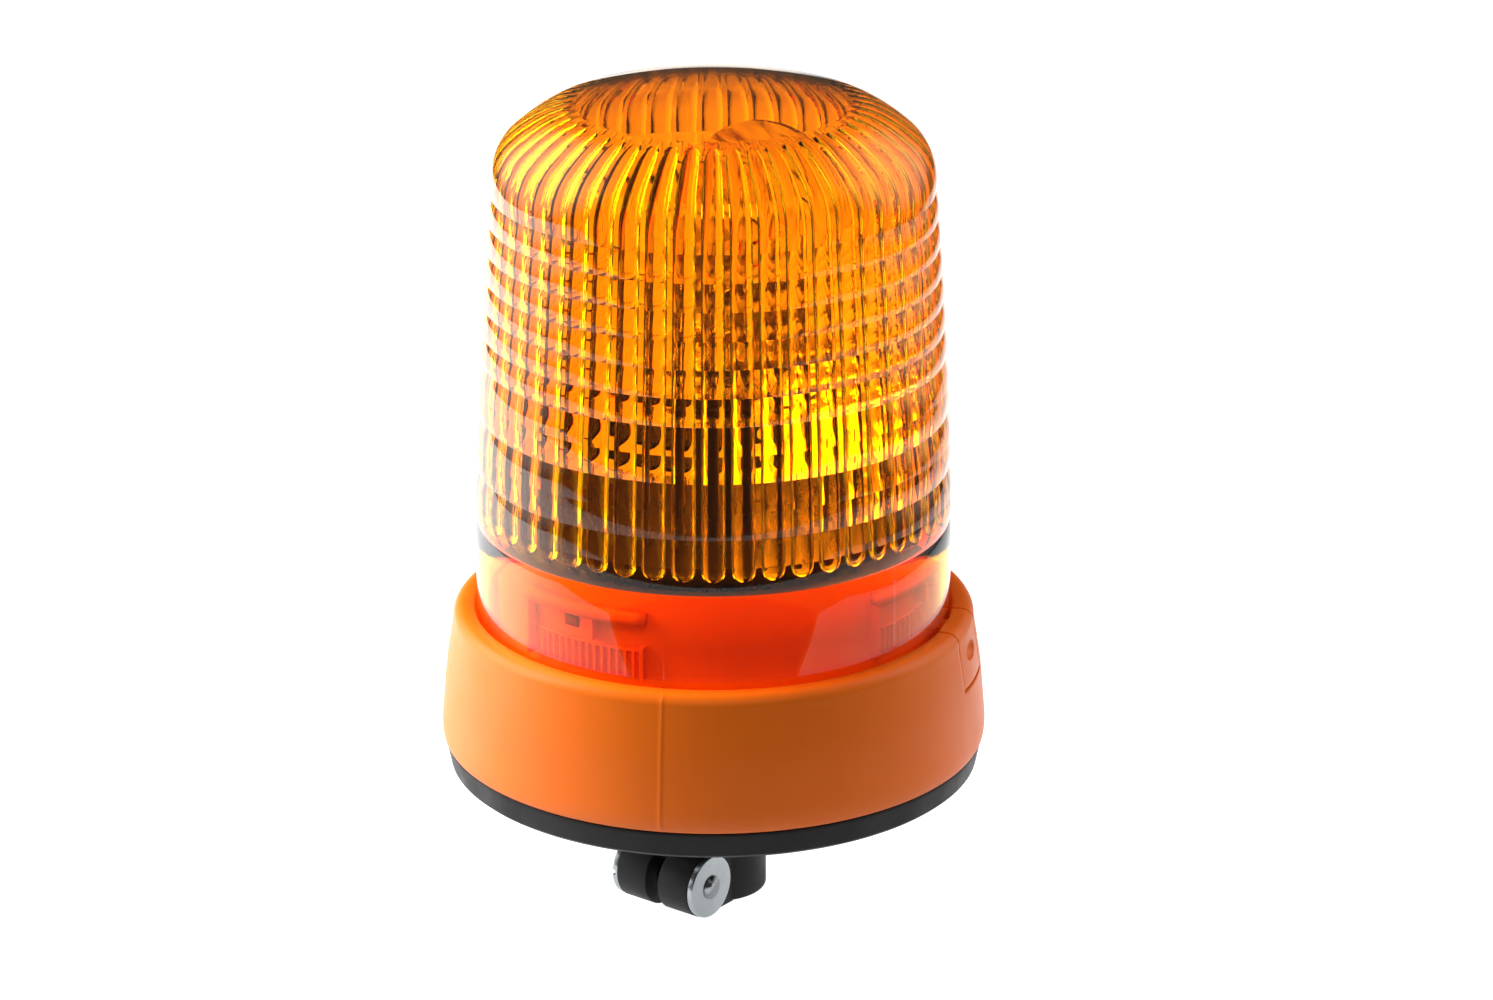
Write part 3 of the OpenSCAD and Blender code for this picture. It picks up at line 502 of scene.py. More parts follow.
def crease_z(i):
    if i <= FINE_BANDS:
        return CREASE_TOP - FINE_PITCH * i
    return CREASE_TOP - FINE_PITCH * FINE_BANDS - COARSE_PITCH * (i - FINE_BANDS)


def cap_z(r):
    return LENS_TOP - CAP_K * r * r


def dome_path(offset, step):
    """Shoulder arc, then one smooth curve that meets the cap without a kink."""
    pts = []
    for a in range(0, DOME_END + 1, step):
        c, s = math.cos(math.radians(a)), math.sin(math.radians(a))
        pts.append((DOME_C[0] + (DOME_R - offset) * c, DOME_C[1] + (DOME_R - offset) * s))
    start, end = Vector(pts[-1]), Vector((CAP_JOIN_R, cap_z(CAP_JOIN_R) - offset))
    lean = math.radians(DOME_END)
    along, back = Vector((-math.sin(lean), math.cos(lean))), Vector((1, -2 * CAP_K * CAP_JOIN_R))
    reach = (end - start).cross(back) / along.cross(back)
    corner = start + along * reach
    for k in range(1, 9):
        t = k / 8
        p = start * (1 - t) ** 2 + corner * 2 * t * (1 - t) + end * t * t
        pts.append((p.x, p.y))
    return pts


def lens_outer():
    """Outer outline from the lower edge to the apex, with a list of the crease rows."""
    pts = [(LENS_R - 0.5, LENS_BOTTOM), (LENS_R, LENS_BOTTOM + 0.5), (LENS_R, 96), (LENS_R, 106), (LENS_R, 116),
           (LENS_R, BAND_TOP)]
    sharp = []
    for i in range(FINE_BANDS + COARSE_BANDS, 0, -1):
        z0, z1 = crease_z(i), crease_z(i - 1)
        coarse = i > FINE_BANDS
        sharp.append(len(pts))
        steps = 12 if coarse else 7
        for k in range(steps):
            t = k / steps
            z = z0 + (z1 - z0) * t
            bulge = BULGE * (4 * t * (1 - t) - 0.5)
            if coarse:
                bulge += 0.18 * (abs(math.sin(2 * math.pi * t)) - 0.5)
            pts.append((wall_r(z) + bulge, z))
            if coarse and k == steps // 2:
                sharp.append(len(pts) - 1)
    sharp.append(len(pts))
    pts.append((wall_r(CREASE_TOP) - BULGE / 2, CREASE_TOP))
    pts += dome_path(0.0, 5)
    for r in (44, 40, 34, 28, 21, 14, 7, 2.5):
        pts.append((r, cap_z(r)))
    return pts, sharp


def inner_path():
    """Inner outline as (r, z) from the lower edge to the petal circle, evenly stepped."""
    rough_pts = [(wall_r(z) - LENS_WALL, z) for z in range(127, 226, 3)]
    rough_pts += dome_path(LENS_WALL, 5)
    r = rough_pts[-1][0] - 1.5
    while r > PETAL_R:
        rough_pts.append((r, cap_z(r) - LENS_WALL))
        r -= 1.5
    rough_pts.append((PETAL_R, cap_z(PETAL_R) - LENS_WALL))
    return rough_pts


def lens_rings():
    """The flute's rows: (r, z, inward normal, scale of the pad's width, depth)."""
    path = inner_path()
    lengths = [0.0]
    for a, b in zip(path, path[1:]):
        lengths.append(lengths[-1] + math.dist(a, b))
    total = lengths[-1]

    def point(s):
        s = min(max(s, 0.0), total)
        k = max(i for i in range(len(lengths) - 1) if lengths[i] <= s + 1e-9)
        t = (s - lengths[k]) / (lengths[k + 1] - lengths[k])
        a, b = Vector(path[k]), Vector(path[k + 1])
        return a.lerp(b, t)

    foot, tip = 4.2, 9.0
    marks = [foot * (1 - math.cos(math.radians(a))) for a in range(0, 91, 10)]
    top = [total - tip * (1 - math.cos(math.radians(a))) for a in range(90, -1, -15)]
    steps = 46
    marks += [foot + (total - foot - tip) * k / steps for k in range(1, steps)]
    marks += top
    rows = []
    for s in marks:
        p = point(s)
        d = (point(s + 1.2) - point(s - 1.2)).normalized()
        inward = Vector((-d.y, d.x))
        w = 1.0
        if s < foot:
            w = math.sqrt(max(0.0, 1 - ((foot - s) / foot) ** 2))
        if s > total - tip:
            w = min(w, math.sqrt(max(0.0, 1 - ((s - total + tip) / tip) ** 2)))
        fade = w if s > total - tip else 1.0
        rows.append((p.x, p.y, inward, w, FLUTE_DEPTH * min(1.0, p.x / 66) ** 3 * fade))
    return rows


def make_lens():
    groove = 0.82
    pad = [math.radians(a) for a in (-90, -66, -44, -22, 0, 22, 44, 66, 90)]
    per = 1 + len(pad)
    cols = FLUTES * per
    pitch = 360.0 / FLUTES
    angles = []
    for f in range(FLUTES):
        centre = f * pitch
        angles.append((centre - pitch / 2, None))
        angles += [(centre, t) for t in pad]

    outer, sharp = lens_outer()
    verts, faces = [], []
    plain = [a if t is None else a + pitch / 2 * groove * math.sin(t) for a, t in angles]
    seams = set()
    for az in LENS_SEAM_AZS:
        edges = [c for c, (a, t) in enumerate(angles) if t is not None and abs(t) > 1.5]
        seams.add(min(edges, key=lambda c: abs((plain[c] - az + 180) % 360 - 180)))
    for r, z in outer:
        lift = SEAM_H if z <= BAND_TOP else 0.0
        verts += [polar(r + (lift if c in seams else 0.0), a, z) for c, a in enumerate(plain)]
    n_outer = len(outer)
    apex = len(verts)
    verts.append((0, 0, LENS_TOP))

    inner_start = len(verts)
    skirt_in = [(LENS_R - LENS_WALL, LENS_BOTTOM + 0.4), (LENS_R - LENS_WALL, 100), (LENS_R - LENS_WALL, 112),
                (LENS_R - LENS_WALL, 121), (LENS_R - LENS_WALL, 124.5)]
    for r, z in skirt_in:
        verts += [polar(r, a, z) for a in plain]
    rows = lens_rings()
    for r, z, inward, w, depth in rows:
        for a, t in angles:
            if t is None:
                verts.append(polar(r, a, z))
                continue
            az = a + pitch / 2 * groove * w * math.sin(t)
            h = depth * w * math.cos(t)
            verts.append(polar(r + inward.x * h, az, z + inward.y * h))
    window = [40, 34, 28, 21, 14, 7, 2.5]
    for r in window:
        verts += [polar(r, a, cap_z(r) - LENS_WALL) for a in plain]
    n_inner = len(skirt_in) + len(rows) + len(window)
    inner_apex = len(verts)
    verts.append((0, 0, LENS_TOP - LENS_WALL))

    def quads(start, n, flip):
        for k in range(n - 1):
            for c in range(cols):
                d = (c + 1) % cols
                low, high = start + k * cols, start + (k + 1) * cols
                q = (low + c, low + d, high + d, high + c)
                faces.append(q[::-1] if flip else q)

    quads(0, n_outer, False)
    quads(inner_start, n_inner, True)
    last = (n_outer - 1) * cols
    last_in = inner_start + (n_inner - 1) * cols
    for c in range(cols):
        d = (c + 1) % cols
        faces.append((last + c, last + d, apex))
        faces.append((last_in + d, last_in + c, inner_apex))
        faces.append((d, c, inner_start + c, inner_start + d))
    ob = new_object("lens_dome", verts, faces, [M_AMBER])
    bm = bmesh.new()
    bm.from_mesh(ob.data)
    bm.verts.ensure_lookup_table()
    ring_of = {}
    for k in sharp:
        for c in range(cols):
            ring_of[k * cols + c] = k
    for e in bm.edges:
        a, b = e.verts[0].index, e.verts[1].index
        if ring_of.get(a) is not None and ring_of.get(a) == ring_of.get(b):
            e.smooth = False
        elif len(e.link_faces) == 2 and e.calc_face_angle(0) > math.radians(38):
            e.smooth = False
    bm.to_mesh(ob.data)
    bm.free()
    return ob


def sector_mesh(name, r0, r1, z0, z1, az0, az1, materials, steps=10):
    """A block between two radii, two heights and two azimuths."""
    verts, faces = [], []
    for i in range(steps + 1):
        az = az0 + (az1 - az0) * i / steps
        verts += [polar(r0, az, z0), polar(r1, az, z0), polar(r1, az, z1), polar(r0, az, z1)]
    for i in range(steps):
        for k in range(4):
            m = (k + 1) % 4
            faces.append((4 * i + k, 4 * i + m, 4 * i + 4 + m, 4 * i + 4 + k))
    faces.append((3, 2, 1, 0))
    faces.append(tuple(4 * steps + k for k in range(4)))
    return tidy_mesh(new_object(name, verts, faces, materials))


lens = make_lens()
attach(lens, "lens")
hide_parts("lens")


# ---------------------------------------------------------------- base housing
def skirt_outline():
    """Outer outline of the base from its lower edge to the shoulder, smooth."""
    side = smooth_curve([
        (BASE_R - 0.1, SKIRT_Z + 2.2), (BASE_R, SKIRT_Z + 5.4), (BASE_R - 0.5, SKIRT_Z + 11.4),
        (BASE_R - 1.5, SKIRT_Z + 22.4), (BASE_R - 2.8, SKIRT_Z + 31.4),
        (BASE_R - 3.7, SHOULDER_Z - 5.4),
    ], 5)
    foot = [(BASE_R - 1.5, SKIRT_Z), (BASE_R - 0.75, SKIRT_Z + 0.35), (BASE_R - 0.3, SKIRT_Z + 1.1)]
    centre_r, centre_z = BASE_R - 7.5, SHOULDER_Z - SHOULDER_ROUND
    arc = [(centre_r + SHOULDER_ROUND * math.cos(math.radians(a)),
            centre_z + SHOULDER_ROUND * math.sin(math.radians(a))) for a in range(12, 91, 6)]
    return foot + side + arc


def make_housing():
    inside = [
        (GROOVE_R + 0.4, SHOULDER_Z), (GROOVE_R, SHOULDER_Z - 0.4), (GROOVE_R, GROOVE_Z), (NECK_R, GROOVE_Z),
        (NECK_R, 104), (NECK_R, NECK_TOP - 0.5), (NECK_R - 0.5, NECK_TOP), (NECK_R - NECK_WALL, NECK_TOP),
        (NECK_R - NECK_WALL, DECK_Z), (LEDGE_R, DECK_Z), (LEDGE_R, LEDGE_Z), (NECK_R - NECK_WALL, LEDGE_Z),
        (NECK_R - NECK_WALL, GROOVE_Z - 2.2), (BASE_R - 7.6, GROOVE_Z - 2.2),
        (BASE_R - 2.8 - BASE_WALL, GROOVE_Z - 4.2), (BASE_R - 1.5 - BASE_WALL, SKIRT_Z + 22.4),
        (BASE_R - BASE_WALL, SKIRT_Z + 5.4), (BASE_R - BASE_WALL, SKIRT_Z),
    ]
    outside = skirt_outline()
    shell = revolve("base_shell", outside + inside, [M_ORANGE], 360, seam=SEAM_AZ, seam_rows=len(outside))
    tool = box_mesh(
        "pocket", (POCKET_X, -LATCH_W / 2 - POCKET_GAP, LATCH_Z - POCKET_DROP),
        (POCKET_X + 20, LATCH_W / 2 + POCKET_GAP, 110), [M_ORANGE], at_az(LATCH_AZ))
    cut(shell, tool)
    tidy_mesh(shell, 30)
    parts = [shell]
    m = at_az(LATCH_AZ)
    low, high, half = LATCH_Z - 3, GROOVE_Z - 1, LATCH_W / 2 + POCKET_GAP
    for side in (-1, 1):
        a, b = sorted((side * half, side * (half + 2)))
        parts.append(box_mesh("pocket_side", (64.5, a, low), (78.2, b, high), [M_ORANGE], m))
    parts.append(box_mesh("pocket_floor", (64.5, -half, low), (78.2, half, LATCH_Z - POCKET_DROP), [M_ORANGE], m))
    parts.append(box_mesh("pocket_back", (64.5, -half, low), (POCKET_X, half, high), [M_ORANGE], m))
    for az in FIELD_AZS:
        parts += bayonet_field(az)
    for az in (15, 135, 255):
        parts.append(cylinder_mesh("boss", 4.2, GROOVE_Z - 2 - PLATE_Z - 3.5, [M_ORANGE],
                                   Matrix.Translation(polar(70, az, PLATE_Z + 3.5)), 32))
    return join_meshes("base_shell_moulding", parts)


def neck_rib(az, depth, width, z0, z1):
    rib = box_mesh("rib", (NECK_R - 0.3, -width / 2, z0), (NECK_R + depth, width / 2, z1), [M_ORANGE], at_az(az))
    return bake_modifiers(bevel(rib, 0.15, 2))


def bayonet_field(az):
    wall = FIELD_R - NECK_R - 0.4
    parts = [
        sector_mesh("rail", NECK_R - 0.3, FIELD_R, 112, 115.3, az - FIELD_HALF, az + FIELD_HALF, [M_ORANGE], 14),
        sector_mesh("bar", NECK_R - 0.3, NECK_R + 0.6, 102.6, 103.6, az - 17, az + 17, [M_ORANGE], 14),
        neck_rib(az - FIELD_HALF + 0.8, wall, 1.2, SHOULDER_Z, 113),
        neck_rib(az + FIELD_HALF - 0.8, wall, 1.2, SHOULDER_Z, 105),
        neck_rib(az + 3.7, wall, 1.2, 105, 113),
    ]
    parts += [neck_rib(az - 13.5 + 28 * k / 13, 1.2, 0.9, SHOULDER_Z, 103) for k in range(14)]
    if az == FIELD_AZS[0]:
        # A small raised block in the darker orange at one field: painted shade standing in for a recess.
        parts.append(sector_mesh("recess", NECK_R - 0.2, NECK_R + 0.35, 107, 110.5, az - 6, az - 1.5, [M_PAINTED_SHADE], 4))
    return parts


housing = make_housing()
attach(housing, "beacon")
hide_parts("base_housing")

rim = revolve("base_rim", round_outline([
    (PLATE_R, RING_Z), (BASE_R - 3.6, RING_Z), (BASE_R - 2.3, RING_Z + 1.1), (BASE_R - 1.0, SKIRT_Z - 1.0),
    (BASE_R - 1.0, SKIRT_Z), (BASE_R - 8, SKIRT_Z), (BASE_R - 8, 50), (PLATE_R, 50)], 0.5), [M_RUBBER], 300)
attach(rim, "beacon")
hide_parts("base_seal")


# ---------------------------------------------------------------- latch
def make_latch():
    """The latch's cap follows the base's own outline over its width."""
    outline = [p for p in skirt_outline() if p[1] > LATCH_Z]
    outline = [(outline[0][0], LATCH_Z)] + outline + [(GROOVE_R + 0.2, SHOULDER_Z)]
    inner = [(p[0] - LATCH_T, min(p[1], SHOULDER_Z - LATCH_T)) for p in outline[:-1]]
    inner = [p for p in inner if p[0] > GROOVE_R + 0.2] + [(GROOVE_R + 0.2, SHOULDER_Z - LATCH_T)]
    ring = outline + inner[::-1]
    cols = 21
    half = math.degrees(math.asin(LATCH_W / 2 / 80))
    verts, faces = [], []
    n = len(ring)
    for i in range(cols):
        az = LATCH_AZ - half + 2 * half * i / (cols - 1)
        verts += [polar(r, az, z) for r, z in ring]
    for i in range(cols - 1):
        for k in range(n):
            m = (k + 1) % n
            faces.append((i * n + k, (i + 1) * n + k, (i + 1) * n + m, i * n + m))
    faces.append(tuple(range(n)))
    faces.append(tuple((cols - 1) * n + k for k in range(n - 1, -1, -1)))
    cap = tidy_mesh(new_object("latch_cap", verts, faces, [M_ORANGE]), 30)
    dimple = turned("dimple", [(0.01, -3.1)] + [
        (3.1 * math.cos(math.radians(a)), 3.1 * math.sin(math.radians(a))) for a in range(-80, 81, 10)
    ] + [(0.01, 3.1)], [M_ORANGE], at_az(LATCH_AZ, BASE_R - 1.9, 86) @ Matrix.Scale(1.9, 4, (0, 1, 0)), 32, True)
    cut(cap, dimple)
    tidy_mesh(cap, 30)
    bake_modifiers(bevel(cap, 0.35, 3, 40))
    m = at_az(LATCH_AZ)
    nose = box_mesh("nose", (70.9, -4, 91.6), (74.5, 4, 93.6), [M_ORANGE], m)
    parts = [cap, bake_modifiers(bevel(nose, 0.3, 2))]
    for side in (-1, 1):
        along_pin = Matrix.Translation((0, side * 6.85 - 3.65, 0)) @ Matrix.Rotation(math.radians(-90), 4, "X")
        pin = at_az(LATCH_AZ, LATCH_PIN_R, LATCH_PIN_Z) @ along_pin
        parts.append(cylinder_mesh("knuckle", 2.2, 7.3, [M_ORANGE], pin, 32))
    return join_meshes("latch_moulding", parts)


latch = make_latch()
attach(latch, "latch")
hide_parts("latch")


# ---------------------------------------------------------------- reflector
def parabola_x(rho):
    return rho * rho / (4 * FOCAL) - FOCAL


def make_reflector():
    """A paraboloid shell with an arched top, mirror-coated in front."""
    half = REFLECTOR_W / 2
    arch_z = REFLECTOR_TOP - half
    cols, rows = 56, 72
    front, back = [], []
    for j in range(rows + 1):
        for i in range(cols + 1):
            u = -1 + 2 * i / cols
            v = j / rows
            y = half * math.sin(math.radians(90 * u))
            top = arch_z + math.sqrt(max(half * half - y * y, 0.0))
            z = REFLECTOR_BOTTOM + (top - REFLECTOR_BOTTOM) * v
            rho = math.hypot(y, z - FOCUS_Z)
            x = parabola_x(rho)
            front.append(Vector((x, y, z)))
            back.append(Vector((x - REFLECTOR_T, y, z)))
    verts = [at_az(REFLECTOR_AZ) @ p for p in front + back]
    n = len(front)
    w = cols + 1
    faces, idx = [], []
    for j in range(rows):
        for i in range(cols):
            q = (j * w + i, j * w + i + 1, (j + 1) * w + i + 1, (j + 1) * w + i)
            faces.append(q)
            idx.append(0)
            faces.append(tuple(n + k for k in reversed(q)))
            idx.append(1)
    loop = [i for i in range(w)] + [j * w + cols for j in range(1, rows + 1)]
    loop += [rows * w + i for i in range(cols - 1, -1, -1)] + [j * w for j in range(rows - 1, 0, -1)]
    for a, b in zip(loop, loop[1:] + loop[:1]):
        faces.append((b, a, n + a, n + b))
        idx.append(1)
    ob = new_object("reflector_shell", verts, faces, [M_MIRROR, M_SPUN], idx)
    return tidy_mesh(ob, 40)


reflector = make_reflector()
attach(reflector, "rotor")
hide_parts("reflector")


# ---------------------------------------------------------------- lamp glass
def make_bulb():
    outer = [(0.01, 161.2), (5.4, 161.2), (5.6, 161.6), (5.6, 183)]
    outer += [(1.2 + 4.4 * math.cos(math.radians(a)), 183 + 4.2 * math.sin(math.radians(a)))
              for a in range(10, 90, 10)]
    outer += [(1.0, 187.4), (0.6, 188.6), (0.01, 189)]
    inner = [(0.01, 184.6), (2.2, 184.2), (3.8, 182.9), (4.6, 181), (4.6, 166), (3.4, 164.6), (0.01, 164.5)]
    return revolve("bulb_capsule", outer + inner, [M_QUARTZ], 48, True)


bulb = make_bulb()
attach(bulb, "beacon")
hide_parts("bulb_glass")


# ---------------------------------------------------------------- clamp socket
def ears_frame():
    return at_az(EAR_AZ)


def make_socket():
    """The tube with its two ears, the slit and the bores, with rounded edges."""
    m = ears_frame()
    outline = round_outline(
        [(BORE_R, 0), (SOCKET_R, 0), (SOCKET_R, 40), (11.5, 40), (11.5, 33), (BORE_R, 33)],
        [0.6, 0.8, 0.5, 0.3, 0.2, 0])
    tube = turned("socket_tube", outline, [M_RUBBER], Matrix.Identity(4), 128)
    parts = [tube]
    for side in (-1, 1):
        y0, y1 = sorted((side * SLIT_W / 2, side * EAR_OUT))
        profile = [(SOCKET_R * 0.86, EAR_Z - EAR_R), (EAR_REACH, EAR_Z - EAR_R)]
        profile += [(EAR_REACH + EAR_R * math.cos(math.radians(a)), EAR_Z + EAR_R * math.sin(math.radians(a)))
                    for a in range(-85, 90, 5)]
        profile += [(EAR_REACH, EAR_Z + EAR_R), (SOCKET_R * 0.86, EAR_Z + EAR_R)]
        n = len(profile)
        x_in = math.sqrt(max(SOCKET_R ** 2 - EAR_OUT ** 2, 0)) - 0.5
        profile[0] = (x_in, profile[0][1])
        profile[-1] = (x_in, profile[-1][1])
        verts = [m @ Vector((x, y, z)) for y in (y0, y1) for x, z in profile]
        faces = [tuple(range(n)), tuple(range(2 * n - 1, n - 1, -1))]
        faces += [(k, n + k, n + (k + 1) % n, (k + 1) % n) for k in range(n)]
        ear = tidy_mesh(new_object("ear", verts, faces, [M_RUBBER]), 40)
        across = Matrix.Translation((EAR_REACH, 30, EAR_Z)) @ Matrix.Rotation(math.radians(90), 4, "X")
        bore = cylinder_mesh("ear_bore", 4.1 if side < 0 else 5.5, 60, [M_RUBBER], m @ across, 48)
        cut(ear, bore)
        core = cylinder_mesh("core", BORE_R, 80, [M_RUBBER], Matrix.Translation((0, 0, -20)), 96)
        cut(ear, core)
        tidy_mesh(ear, 40)
        bake_modifiers(bevel(ear, 0.7, 4, 45))
        parts.append(ear)
    slit = box_mesh("slit", (0, -SLIT_W / 2, -1), (30, SLIT_W / 2, 21.5), [M_RUBBER], m)
    cut(tube, slit)
    tidy_mesh(tube, 40)
    return join_meshes("socket_moulding", parts)


socket = make_socket()
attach(socket, "mount")
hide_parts("clamp_socket")


def along_ears(flip):
    """A frame on the clamp screw's axis, with +Z pointing outwards along it."""
    turn = Matrix.Rotation(math.radians(-90 if flip else 90), 4, "X")
    return ears_frame() @ Matrix.Translation((EAR_REACH, 0, EAR_Z)) @ turn


def head_outline(back, back_r):
    """Outline of a flat head with a stem that starts at back; one ring keeps the face's shading flat."""
    points = [(0.01, back), (back_r, back), (back_r, EAR_OUT), (HEAD_R, EAR_OUT),
              (HEAD_R, HEAD_FACE), (HEAD_R - 1.0, HEAD_FACE), (0.01, HEAD_FACE)]
    return round_outline(points, [0, 0, 0, 0.3, 0.55, 0, 0])


def make_screw():
    """Flat-headed screw: head rim and face turned, with a hexagon recess."""
    m = along_ears(True)

    def up(z):
        return m @ Matrix.Translation((0, 0, z))

    head = turned("screw_head", head_outline(EAR_OUT - 0.4, 4.0), [M_ZINC], m, 96)
    shank = cylinder_mesh("screw_shank", 4, 2 * EAR_OUT - 2.4, [M_ZINC], up(2 - EAR_OUT), 48)
    hexagon = cylinder_mesh("hexagon", 3.2, 4, [M_ZINC], up(HEAD_FACE - 2.9), 6)
    cut(head, hexagon)
    chamfer = cylinder_mesh("chamfer", 3.0, 0.8, [M_ZINC], up(HEAD_FACE - 0.45), 48, 3.8)
    cut(head, chamfer)
    tidy_mesh(head, 30)
    floor = cylinder_mesh("recess_floor", 3.3, 0.2, [M_ZINC], up(HEAD_FACE - 2.5), 24)
    return join_meshes("clamp_screw_turned", [head, shank, floor])


screw = make_screw()
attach(screw, "mount")
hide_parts("clamp_screw")


def make_nut():
    m = along_ears(False)
    nut = turned("nut_head", head_outline(EAR_OUT - 9, 5.5), [M_ZINC], m, 96)
    slot_tool = box_mesh("slot", (-12, -0.8, HEAD_FACE - 1.2), (12, 0.8, HEAD_FACE + 3), [M_ZINC], m)
    cut(nut, slot_tool)
    tidy_mesh(nut, 30)
    nut.name = "clamp_nut_turned"
    return nut


nut = make_nut()
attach(nut, "mount")
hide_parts("clamp_nut")

# ---------------------------------------------------------------- flexible neck
neck = revolve("flex_neck_moulding", round_outline([
    (SOCKET_R, 25), (19.4, 25), (20.4, 27), (20.4, 31), (23, 35), (27.5, 38.5), (30, 41), (30, 43.5), (38, 43.5),
    (38, 46.5), (26.5, 46.5), (26.5, 43), (23.5, 40), (19, 37.5), (SOCKET_R, 36.5)], 1.4), [M_RUBBER], 160)
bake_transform(neck)
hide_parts("flex_neck")



# ---------------------------------------------------------------- supply leads, cut into short lengths across the neck
def make_leads():
    """The CAD leads' own shape, cut into short lengths across the neck."""
    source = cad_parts["supply_leads"]
    ob = bpy.data.objects.new("supply_lead_wires", source.data.copy())
    ob.matrix_world = source.matrix_world.copy()
    bpy.context.scene.collection.objects.link(ob)
    bm = bmesh.new()
    bm.from_mesh(ob.data)
    for z in range(26, 50, 2):
        geom = bm.verts[:] + bm.edges[:] + bm.faces[:]
        bmesh.ops.bisect_plane(bm, geom=geom, plane_co=(0, 0, z * MM), plane_no=(0, 0, 1))
    bm.to_mesh(ob.data)
    bm.free()
    return ob


leads = make_leads()
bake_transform(leads)
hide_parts("supply_leads")

# ---------------------------------------------------------------- light edges on the CAD's own pieces
for node in ("base_plate", "deck_plate", "gear_shroud", "turntable", "lamp_post", "lamp_holder", "bulb_base",
             "flange_ring", "motor_can", "motor_endcap", "vent_plug", "reflector_bracket", "contact_carrier"):
    bevel(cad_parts[node], 0.25, 2, 50)

# ---------------------------------------------------------------- stage, light and camera
scene = bpy.context.scene


def lit_floor(name, colour, glow, left_glow, front_glow):
    """Pale sheet lit from below. The camera sees it plain; its light fades towards the front and the right."""
    s = Shader(name)
    s.set(Base_Color=(*colour, 1), Roughness=0.9, Specular_IOR_Level=0.1, Emission_Color=(1, 1, 1, 1))
    split = s.add("ShaderNodeSeparateXYZ")
    s.link(s.coord.outputs["Object"], split.inputs["Vector"])
    sideways = s.map(split.outputs["X"], left_glow, glow, -0.40, -0.12)
    forward = s.map(split.outputs["Y"], front_glow, 1.0, -0.20, 0.06)
    rightward = s.map(split.outputs["X"], 1.0, front_glow, 0.20, 0.455)
    given = s.multiply(s.multiply(sideways, forward), rightward)
    path = s.add("ShaderNodeLightPath")
    seen = s.add("ShaderNodeMath")
    seen.operation = "MAXIMUM"
    s.link(path.outputs["Is Camera Ray"], seen.inputs[0])
    s.link(given, seen.inputs[1])
    s.link(seen.outputs["Value"], s.bsdf.inputs["Emission Strength"])
    return s.mat


floor = new_object("floor", [(-850, -250, -1.2), (460, -250, -1.2), (460, 7000, -1.2), (-850, 7000, -1.2)],
                   [(0, 1, 2, 3)], [lit_floor("floor_sheet", (0.35, 0.35, 0.35), 1.0, 1.9, 0.1)])


def softbox(name, az, elevation, distance, size, radiance):
    """A rectangular soft light aimed at the middle of the object."""
    light = bpy.data.lights.new(name, "AREA")
    light.shape = "RECTANGLE"
    light.size, light.size_y = size
    light.energy = radiance * math.pi * size[0] * size[1]
    ob = bpy.data.objects.new(name, light)
    e = math.radians(elevation)
    target = Vector((0, 0, 0.13))
    ob.location = target + polar(distance * math.cos(e), az, distance * math.sin(e))
    ob.rotation_euler = (target - ob.location).to_track_quat("-Z", "Y").to_euler()
    scene.collection.objects.link(ob)
    return ob


for box in (softbox("left_box", -108, 27, 1.6, (1.5, 1.5), 12.0), softbox("right_box", 112, 25, 1.6, (1.0, 1.4), 2.6),
            softbox("front_fill", 8, 42, 2.0, (1.2, 1.0), 3.3)):
    box.visible_glossy = False


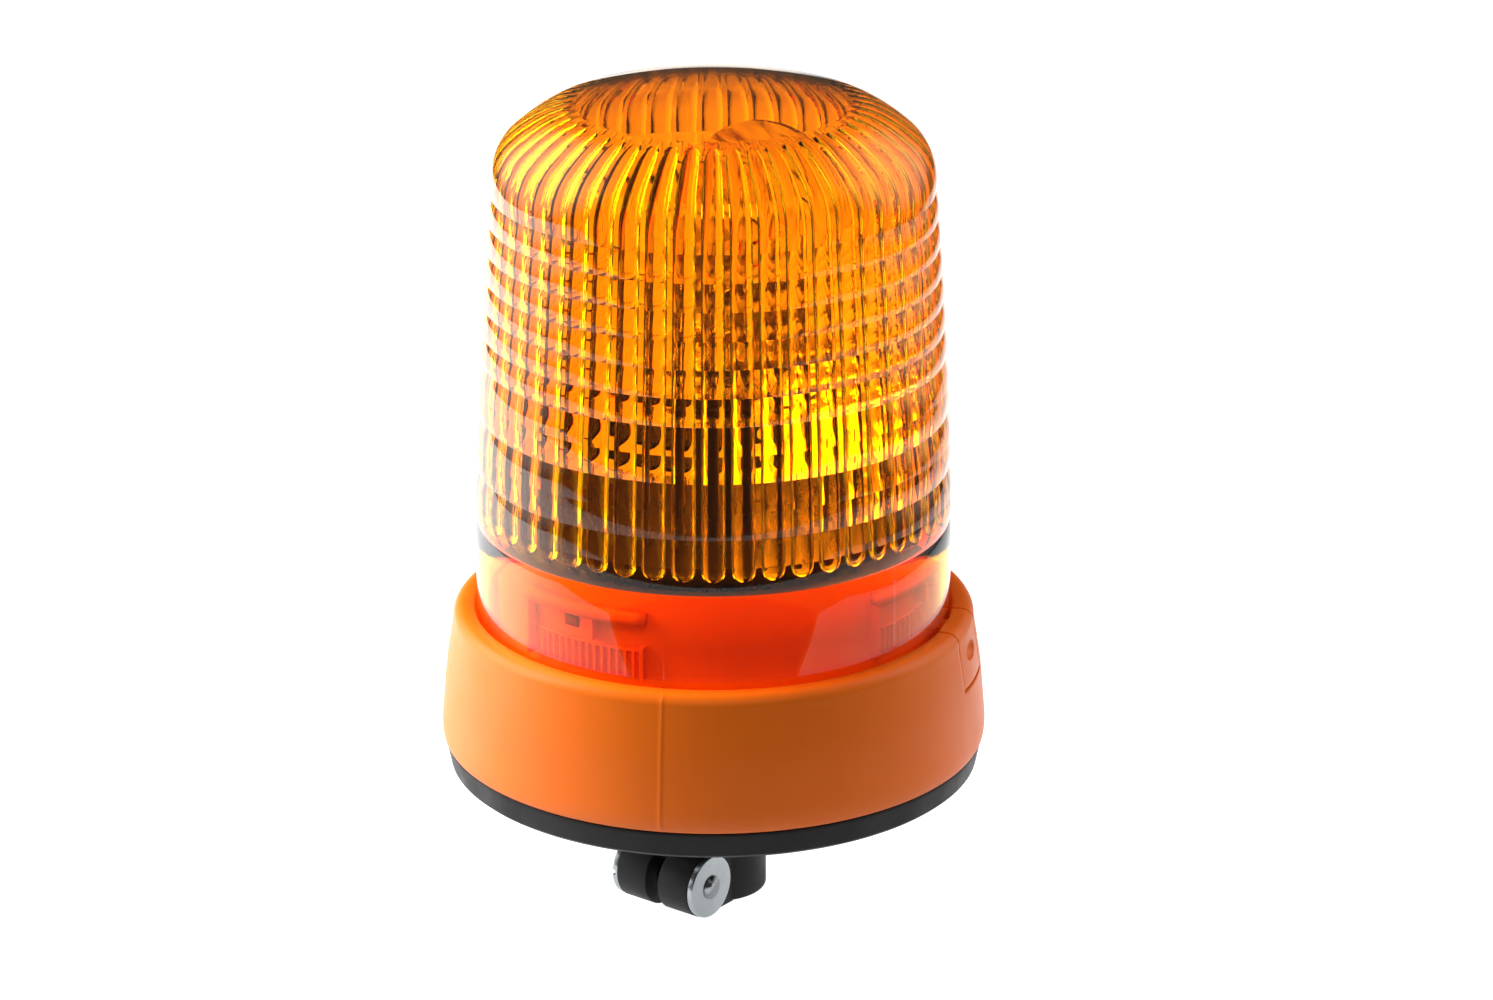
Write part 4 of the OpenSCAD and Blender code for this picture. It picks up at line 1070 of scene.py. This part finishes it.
def studio(world, ambient, glows):
    """Dim surroundings with soft glows, each (azimuth, elevation, strength, outer angle, inner angle)."""
    world.use_nodes = True
    nt = world.node_tree
    coord = nt.nodes.new("ShaderNodeTexCoord")
    total = None
    for az, elevation, strength, outer, inner in glows:
        e = math.radians(elevation)
        dot = nt.nodes.new("ShaderNodeVectorMath")
        dot.operation = "DOT_PRODUCT"
        dot.inputs[1].default_value = polar(math.cos(e), az, math.sin(e))
        nt.links.new(coord.outputs["Generated"], dot.inputs[0])
        fall = nt.nodes.new("ShaderNodeMapRange")
        fall.interpolation_type = "SMOOTHSTEP"
        fall.inputs["From Min"].default_value = math.cos(math.radians(outer))
        fall.inputs["From Max"].default_value = math.cos(math.radians(inner))
        fall.inputs["To Min"].default_value = 0.0 if total else ambient
        fall.inputs["To Max"].default_value = strength
        nt.links.new(dot.outputs["Value"], fall.inputs["Value"])
        if total is None:
            total = fall.outputs["Result"]
            continue
        add = nt.nodes.new("ShaderNodeMath")
        nt.links.new(total, add.inputs[0])
        nt.links.new(fall.outputs["Result"], add.inputs[1])
        total = add.outputs["Value"]
    path = nt.nodes.new("ShaderNodeLightPath")
    seen = nt.nodes.new("ShaderNodeMath")
    seen.operation = "MAXIMUM"
    nt.links.new(path.outputs["Is Camera Ray"], seen.inputs[0])
    nt.links.new(total, seen.inputs[1])
    nt.nodes["Background"].inputs["Color"].default_value = (1, 1, 1, 1)
    nt.links.new(seen.outputs["Value"], nt.nodes["Background"].inputs["Strength"])


world = bpy.data.worlds.new("studio")
scene.world = world
studio(world, 0.06, [(-112, 22, 1.8, 45, 12), (118, 20, 0.8, 40, 10)])

CAMERA_D = 1.5152
CAMERA_EL = math.radians(20.24)
AIM = Vector((0.0101, 0.0, 0.127))
cam = bpy.data.cameras.new("camera")
cam.lens = 119.95
cam.sensor_width = 36
cam.clip_end = 50
camera = bpy.data.objects.new("camera", cam)
camera.location = (0.0, -CAMERA_D * math.cos(CAMERA_EL), 0.127 + CAMERA_D * math.sin(CAMERA_EL))
camera.rotation_euler = (AIM - camera.location).to_track_quat("-Z", "Y").to_euler()
scene.collection.objects.link(camera)
scene.camera = camera

scene.view_settings.view_transform = "Standard"
scene.cycles.use_denoising = True
scene.cycles.max_bounces = 20
scene.cycles.transmission_bounces = 18
scene.cycles.glossy_bounces = 6
scene.cycles.diffuse_bounces = 3
scene.cycles.transparent_max_bounces = 16
scene.cycles.sample_clamp_indirect = 8
